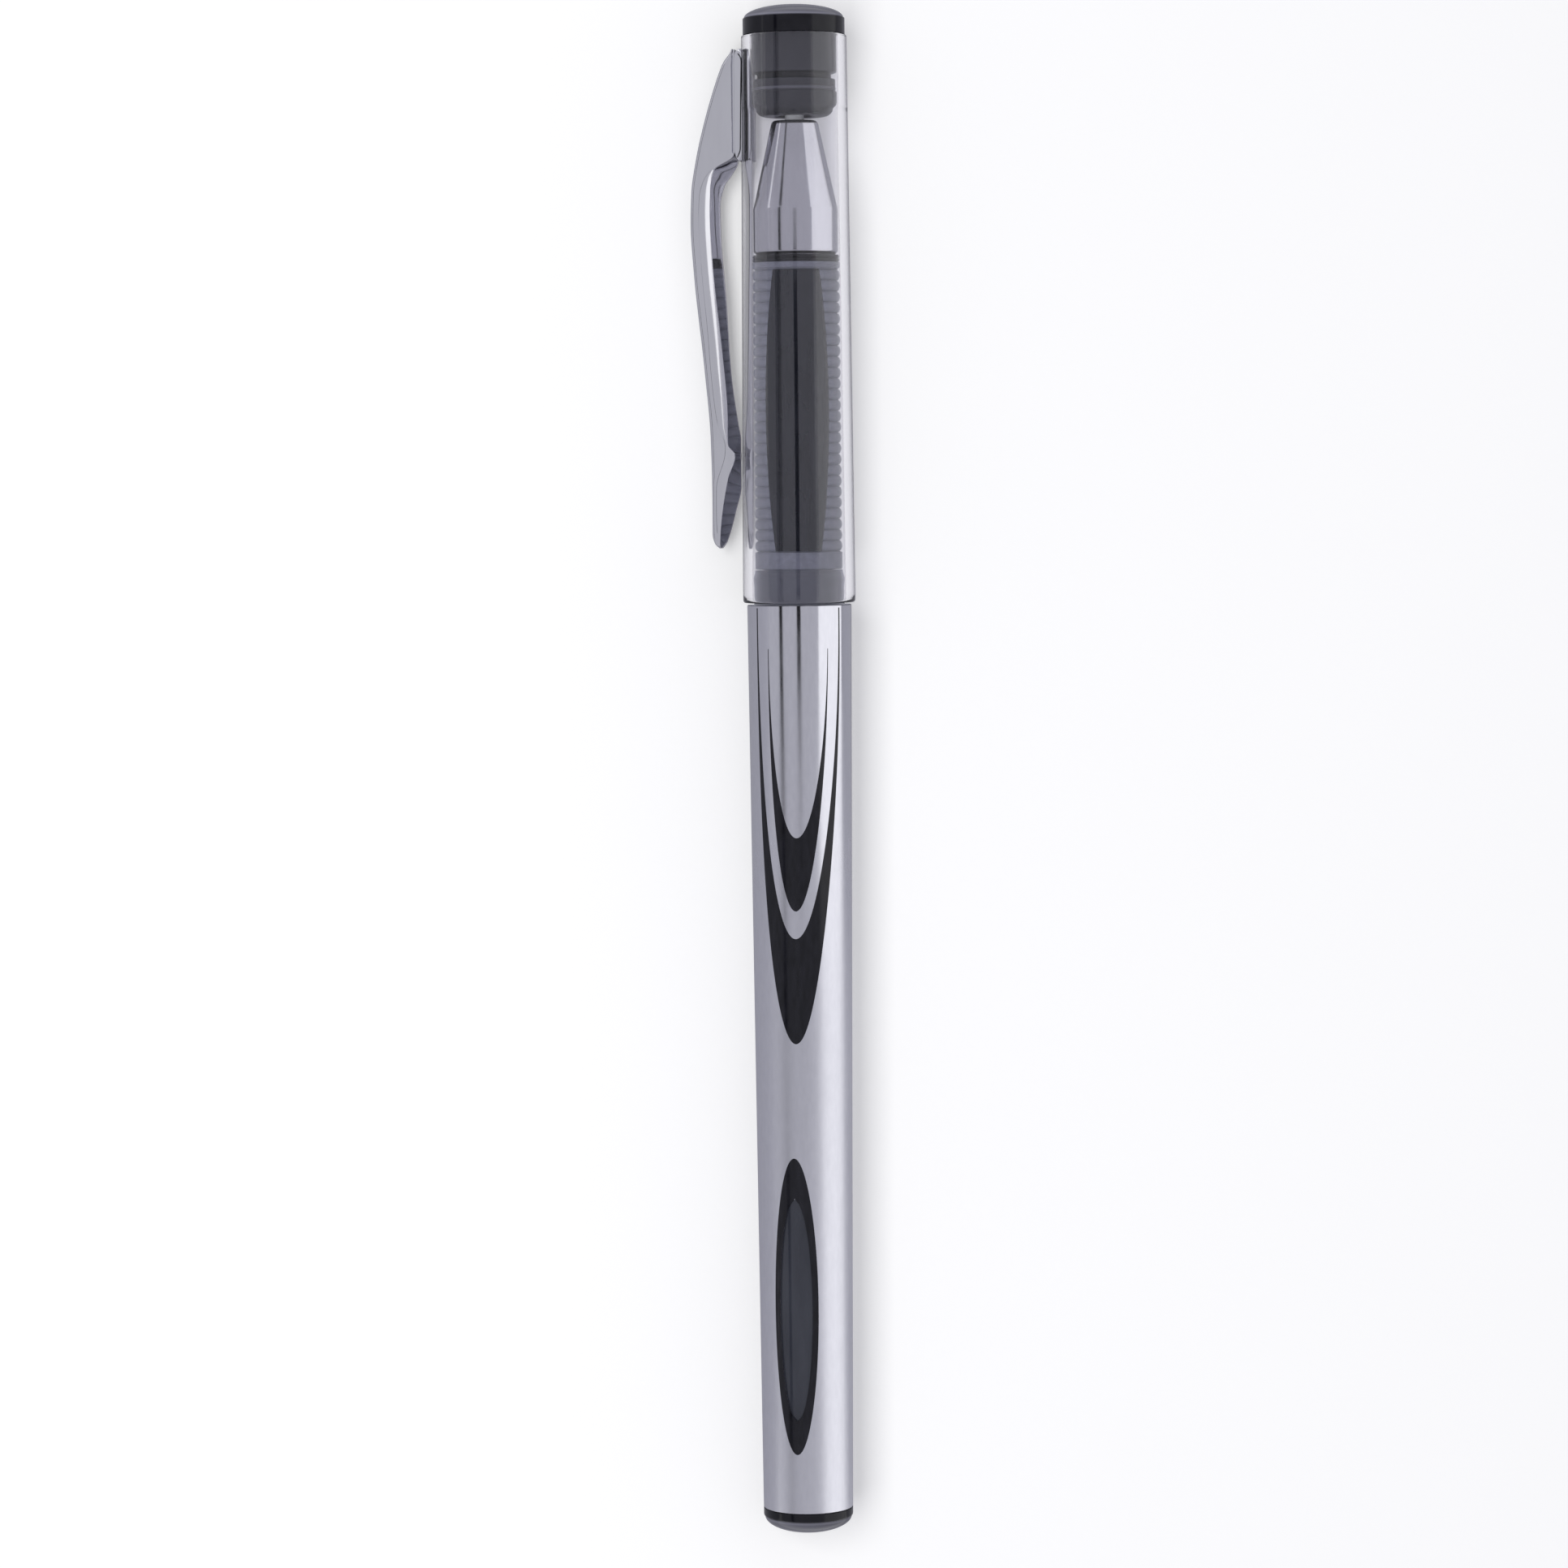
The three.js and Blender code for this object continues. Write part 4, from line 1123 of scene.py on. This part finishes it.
def grip_radius(station, angle, layout):
    start, end, crest, groove, ribs_start, ribs_end, pitch, lip = layout
    if station <= start + 0.13:
        return crest - 0.1 * (1 - min(1.0, (station - start) / 0.12)) ** 2
    if station >= end - 0.09:
        return crest - 0.08 * ((station - end + 0.08) / 0.08) ** 2 if station > end - 0.08 else crest
    if station >= lip:
        return crest
    if station > ribs_end:
        return groove
    if station < ribs_start:
        return crest
    phase = (station - ribs_start) / pitch
    rib = mix(groove - RIB_DEEPER, crest, abs(math.sin(math.pi * phase)) ** RIB_ROUND)
    share = (station - ribs_start) / (ribs_end - ribs_start)
    turns = (angle - PANEL_CENTRE_ANGLE) / math.pi
    off = abs(turns - round(turns)) * math.pi
    edge = (panel_half_angle(share) - off) * crest
    inside = smooth(-0.05, 0.12, edge)
    dip = PANEL_EDGE_DIP * math.exp(-(((edge - 0.02) / 0.09) ** 2))
    fade = smooth(0, 0.012, share) * smooth(0, 0.012, 1 - share)
    return mix(rib, crest - dip - 0.03, inside * fade)


# ---- Refill ----


def make_refill_tube():
    start, end = span("refill_tube")
    radius, bore = outer("refill_tube"), inner("refill_tube")
    profile = [(start, bore, 0.12), (start, radius, 0.12), (end, radius, 0.05), (end, bore, 0.05)]
    turned_piece("refill_tube_clear", profile, REFILL, "refill", "refill_tube", SMALL_SEGMENTS)


def make_ink():
    """The ink column, on a mesh of its own."""
    start, end = span("gel_ink")
    radius = outer("gel_ink")
    profile = [(start, 0.0), (start, radius, 0.3), (end, radius, 0.2), (end, 0.0)]
    column = turned_piece("ink_column", profile, INK, "refill", "gel_ink", SMALL_SEGMENTS)
    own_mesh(column)


def make_follower():
    start, end = span("ink_follower")
    radius = outer("ink_follower")
    profile = [(start + 0.5, 0.0), (start + 0.2, radius * 0.6, 0.4), (start, radius, 0.15)]
    profile += [(end, radius, 0.1), (end, 0.0)]
    turned_piece("grease_follower", profile, FOLLOWER, "follower", "ink_follower", SMALL_SEGMENTS)


def make_tip_holder():
    rear, front = span("tip_holder")
    bore = inner("tip_holder")
    nozzle = max(radii_at("tip_holder", front))
    plug = max(radii_at("tip_holder", rear))
    flange = outer("tip_holder")
    flange_rear, flange_front = min(stations_at("tip_holder", flange)), max(stations_at("tip_holder", flange))
    body = max(r for s, r in cad_rings("tip_holder") if s > flange_front + 1 and r < flange - 0.1)
    taper_rear = max(stations_at("tip_holder", body))
    taper_front = min(stations_at("tip_holder", nozzle))
    profile = [
        (rear, bore, 0.1), (rear, plug, 0.25), (rear + 1.6, plug, 0.1),
        (rear + 1.8, plug - 0.12, 0.1), (rear + 2.4, plug - 0.12, 0.1), (rear + 2.6, plug, 0.1),
        (flange_rear, plug), (flange_rear, flange, 0.1), (flange_front, flange, 0.1),
        (flange_front, body, 0.1), (taper_rear, body, 0.3), (taper_front, nozzle, 0.4),
        (front - 0.45, nozzle, 0.03), (front - 0.4, nozzle - 0.04, 0.03),
        (front - 0.35, nozzle, 0.03), (front, nozzle, 0.1), (front, bore, 0.04),
    ]
    turned_piece("nozzle_holder", profile, NATURAL, "refill", "tip_holder", SMALL_SEGMENTS)


def make_tip():
    rear, mouth = span("writing_tip")
    shank = max(radii_at("writing_tip", rear))
    bore = min(radii_at("writing_tip", rear))
    flange = outer("writing_tip")
    flange_rear, cone_start = min(stations_at("writing_tip", flange)), max(stations_at("writing_tip", flange))
    cone = sorted(set(radii_at("writing_tip", cone_start)))[0]
    mouth_radii = sorted(set(radii_at("writing_tip", mouth)))
    profile = [
        (rear, bore), (rear, shank, 0.12), (flange_rear, shank), (flange_rear, flange, 0.06),
        (cone_start, flange, 0.06), (cone_start, cone, 0.05),
        (mix(cone_start, mouth, 0.55), mix(cone, mouth_radii[-1], 0.5), 0.15),
        (mouth, mouth_radii[-1], 0.05), (mouth, mouth_radii[0]),
        (mouth - 0.12, mouth_radii[0] + 0.05), (mouth - 0.55, bore * 0.9),
    ]
    turned_piece("brass_tip", profile, TIP_METAL, "refill", "writing_tip", SMALL_SEGMENTS)


def make_ball():
    low, high = span("tip_ball")
    centre, radius = (low + high) / 2, (high - low) / 2
    angles = [math.pi * k / BALL_STEPS for k in range(BALL_STEPS + 1)]
    arc = [(centre - radius * math.cos(angle), radius * math.sin(angle)) for angle in angles]
    arc[0], arc[-1] = (low, 0.0), (high, 0.0)
    to_object(turned(arc, 48), "carbide_ball", CARBIDE, "ball", ["tip_ball"])


SPRING_WIRE = 0.068  # radius
SPRING_TURNS = 8
WIRE_FACES = 10  # round the wire


def make_spring():
    start, end = span("tip_spring")
    points = frame["nodes"]["tip_spring"].data.vertices
    reach = max(math.hypot(v.co.y - AXIS_POINT.y, v.co.z - AXIS_POINT.z) for v in points) / MM
    wire = SPRING_WIRE
    coil = reach - wire
    steps = SPRING_TURNS * 32
    bm = bmesh.new()
    rings = []
    for i in range(steps + 1):
        turn = 2 * math.pi * SPRING_TURNS * i / steps
        station = mix(start + wire, end - wire, i / steps)
        ring = []
        for k in range(WIRE_FACES):
            angle = 2 * math.pi * k / WIRE_FACES
            along, radius = station + wire * math.sin(angle), coil + wire * math.cos(angle)
            ring.append(bm.verts.new(around(along, radius, turn)))
        rings.append(ring)
    skin(bm, rings)
    to_object(bm, "tip_coil_spring", STEEL, "refill", ["tip_spring"], math.radians(60))


# ---- Stage, camera and light ----


def make_floor():
    bpy.ops.mesh.primitive_grid_add(x_subdivisions=2, y_subdivisions=2, size=FLOOR_SIZE)
    floor = bpy.context.object
    floor.name = "floor"
    floor.location = (0, 0, -FLOOR_DROP)
    floor.data.materials.append(floor_paper())


def seen_from_camera(turn):
    """Unit vector in the pen's cross-section, turned from the camera's direction to the image's right."""
    up = Vector((0, math.sin(CAMERA_TILT), math.cos(CAMERA_TILT)))
    right = Vector((0, -math.cos(CAMERA_TILT), math.sin(CAMERA_TILT)))
    return up * math.cos(turn) + right * math.sin(turn)


def make_camera():
    up = seen_from_camera(0)
    right = seen_from_camera(math.pi / 2)
    position = place(CAMERA_STATION, 0, 0) + up * (CAMERA_DISTANCE * MM)
    target = place(AIM_STATION, 0, 0) - right * (AIM_SIDESTEP * MM)
    forward = (target - position).normalized()
    image_up = ALONG * math.cos(AXIS_LEAN) + right * math.sin(AXIS_LEAN)
    image_right = forward.cross(image_up).normalized()
    image_up = image_right.cross(forward)
    data = bpy.data.cameras.new("camera")
    data.lens = CAMERA_LENS
    data.sensor_width = 36
    data.clip_start = 0.01
    data.clip_end = 20
    camera = bpy.data.objects.new("camera", data)
    rotation = Matrix((image_right, image_up, -forward)).transposed().to_4x4()
    camera.matrix_world = Matrix.Translation(position) @ rotation
    bpy.context.scene.collection.objects.link(camera)
    bpy.context.scene.camera = camera


def facing(position, target):
    """Turned so that local -Z looks at the target, and local X lies along the pen."""
    forward = (target - position).normalized()
    side = (ALONG - forward * ALONG.dot(forward)).normalized()
    up = (-forward).cross(side)
    return Matrix.Translation(position) @ Matrix((side, up, -forward)).transposed().to_4x4()


def stand(obj, station, turn, distance):
    """Puts a light or a card round the pen, turned from the camera's direction, facing the axis."""
    target = place(station, 0, 0)
    obj.matrix_world = facing(target + seen_from_camera(turn) * distance, target)
    bpy.context.scene.collection.objects.link(obj)


def make_key_light():
    """The lamp that casts the pen's shadow. Reflections show the panel and the cards instead."""
    data = bpy.data.lights.new("key_light", "AREA")
    data.shape = "RECTANGLE"
    data.size, data.size_y = KEY_SIZE
    data.energy = KEY_RADIANCE * math.pi * KEY_SIZE[0] * KEY_SIZE[1]
    lamp = bpy.data.objects.new("key_light", data)
    lamp.visible_camera = lamp.visible_glossy = lamp.visible_transmission = False
    stand(lamp, KEY_STATION, KEY_TURN, KEY_DISTANCE)


def make_card(name, turn, distance, start, end, width, material=CARD):
    """A card that only reflections show. Turn is in degrees, distance and width are in metres."""
    half_length = (end - start) * MM / 2
    bm = bmesh.new()
    corners = [(-1, -1), (1, -1), (1, 1), (-1, 1)]
    bm.faces.new([bm.verts.new((x * half_length, y * width / 2, 0)) for x, y in corners])
    mesh = bpy.data.meshes.new(name)
    bm.to_mesh(mesh)
    bm.free()
    mesh.materials.append(material)
    card = bpy.data.objects.new(name, mesh)
    for ray in ("camera", "diffuse", "shadow", "volume_scatter"):
        setattr(card, "visible_" + ray, False)
    stand(card, (start + end) / 2, math.radians(turn), distance)


def set_tones():
    """Plain tones, so that the pale floor comes out pale."""
    bpy.context.scene.view_settings.view_transform = "Standard"


def make_world():
    world = bpy.data.worlds.new("studio")
    world.use_nodes = True
    background = world.node_tree.nodes["Background"]
    background.inputs["Color"].default_value = (*WORLD_COLOUR, 1)
    background.inputs["Strength"].default_value = WORLD_STRENGTH
    bpy.context.scene.world = world


def make_lights():
    make_world()
    make_card("softbox_right", turn=74, distance=0.7, start=-725, end=875, width=0.87, material=SOFTBOX)
    make_key_light()
    make_card("side_card", turn=-42, distance=0.6, start=-400, end=500, width=0.075)
    make_card("camera_card", turn=-2, distance=0.485, start=45, end=153, width=0.07)


make_cap()
make_cap_plug()
make_seal()
make_clip()
make_clip_base()
make_nose()
make_washer()
make_barrel()
make_film()
make_print()
make_rear_plug()
make_grip()
make_grip_panels()
make_refill_tube()
make_ink()
make_follower()
make_tip_holder()
make_tip()
make_ball()
make_spring()
make_floor()
make_camera()
make_lights()
set_tones()
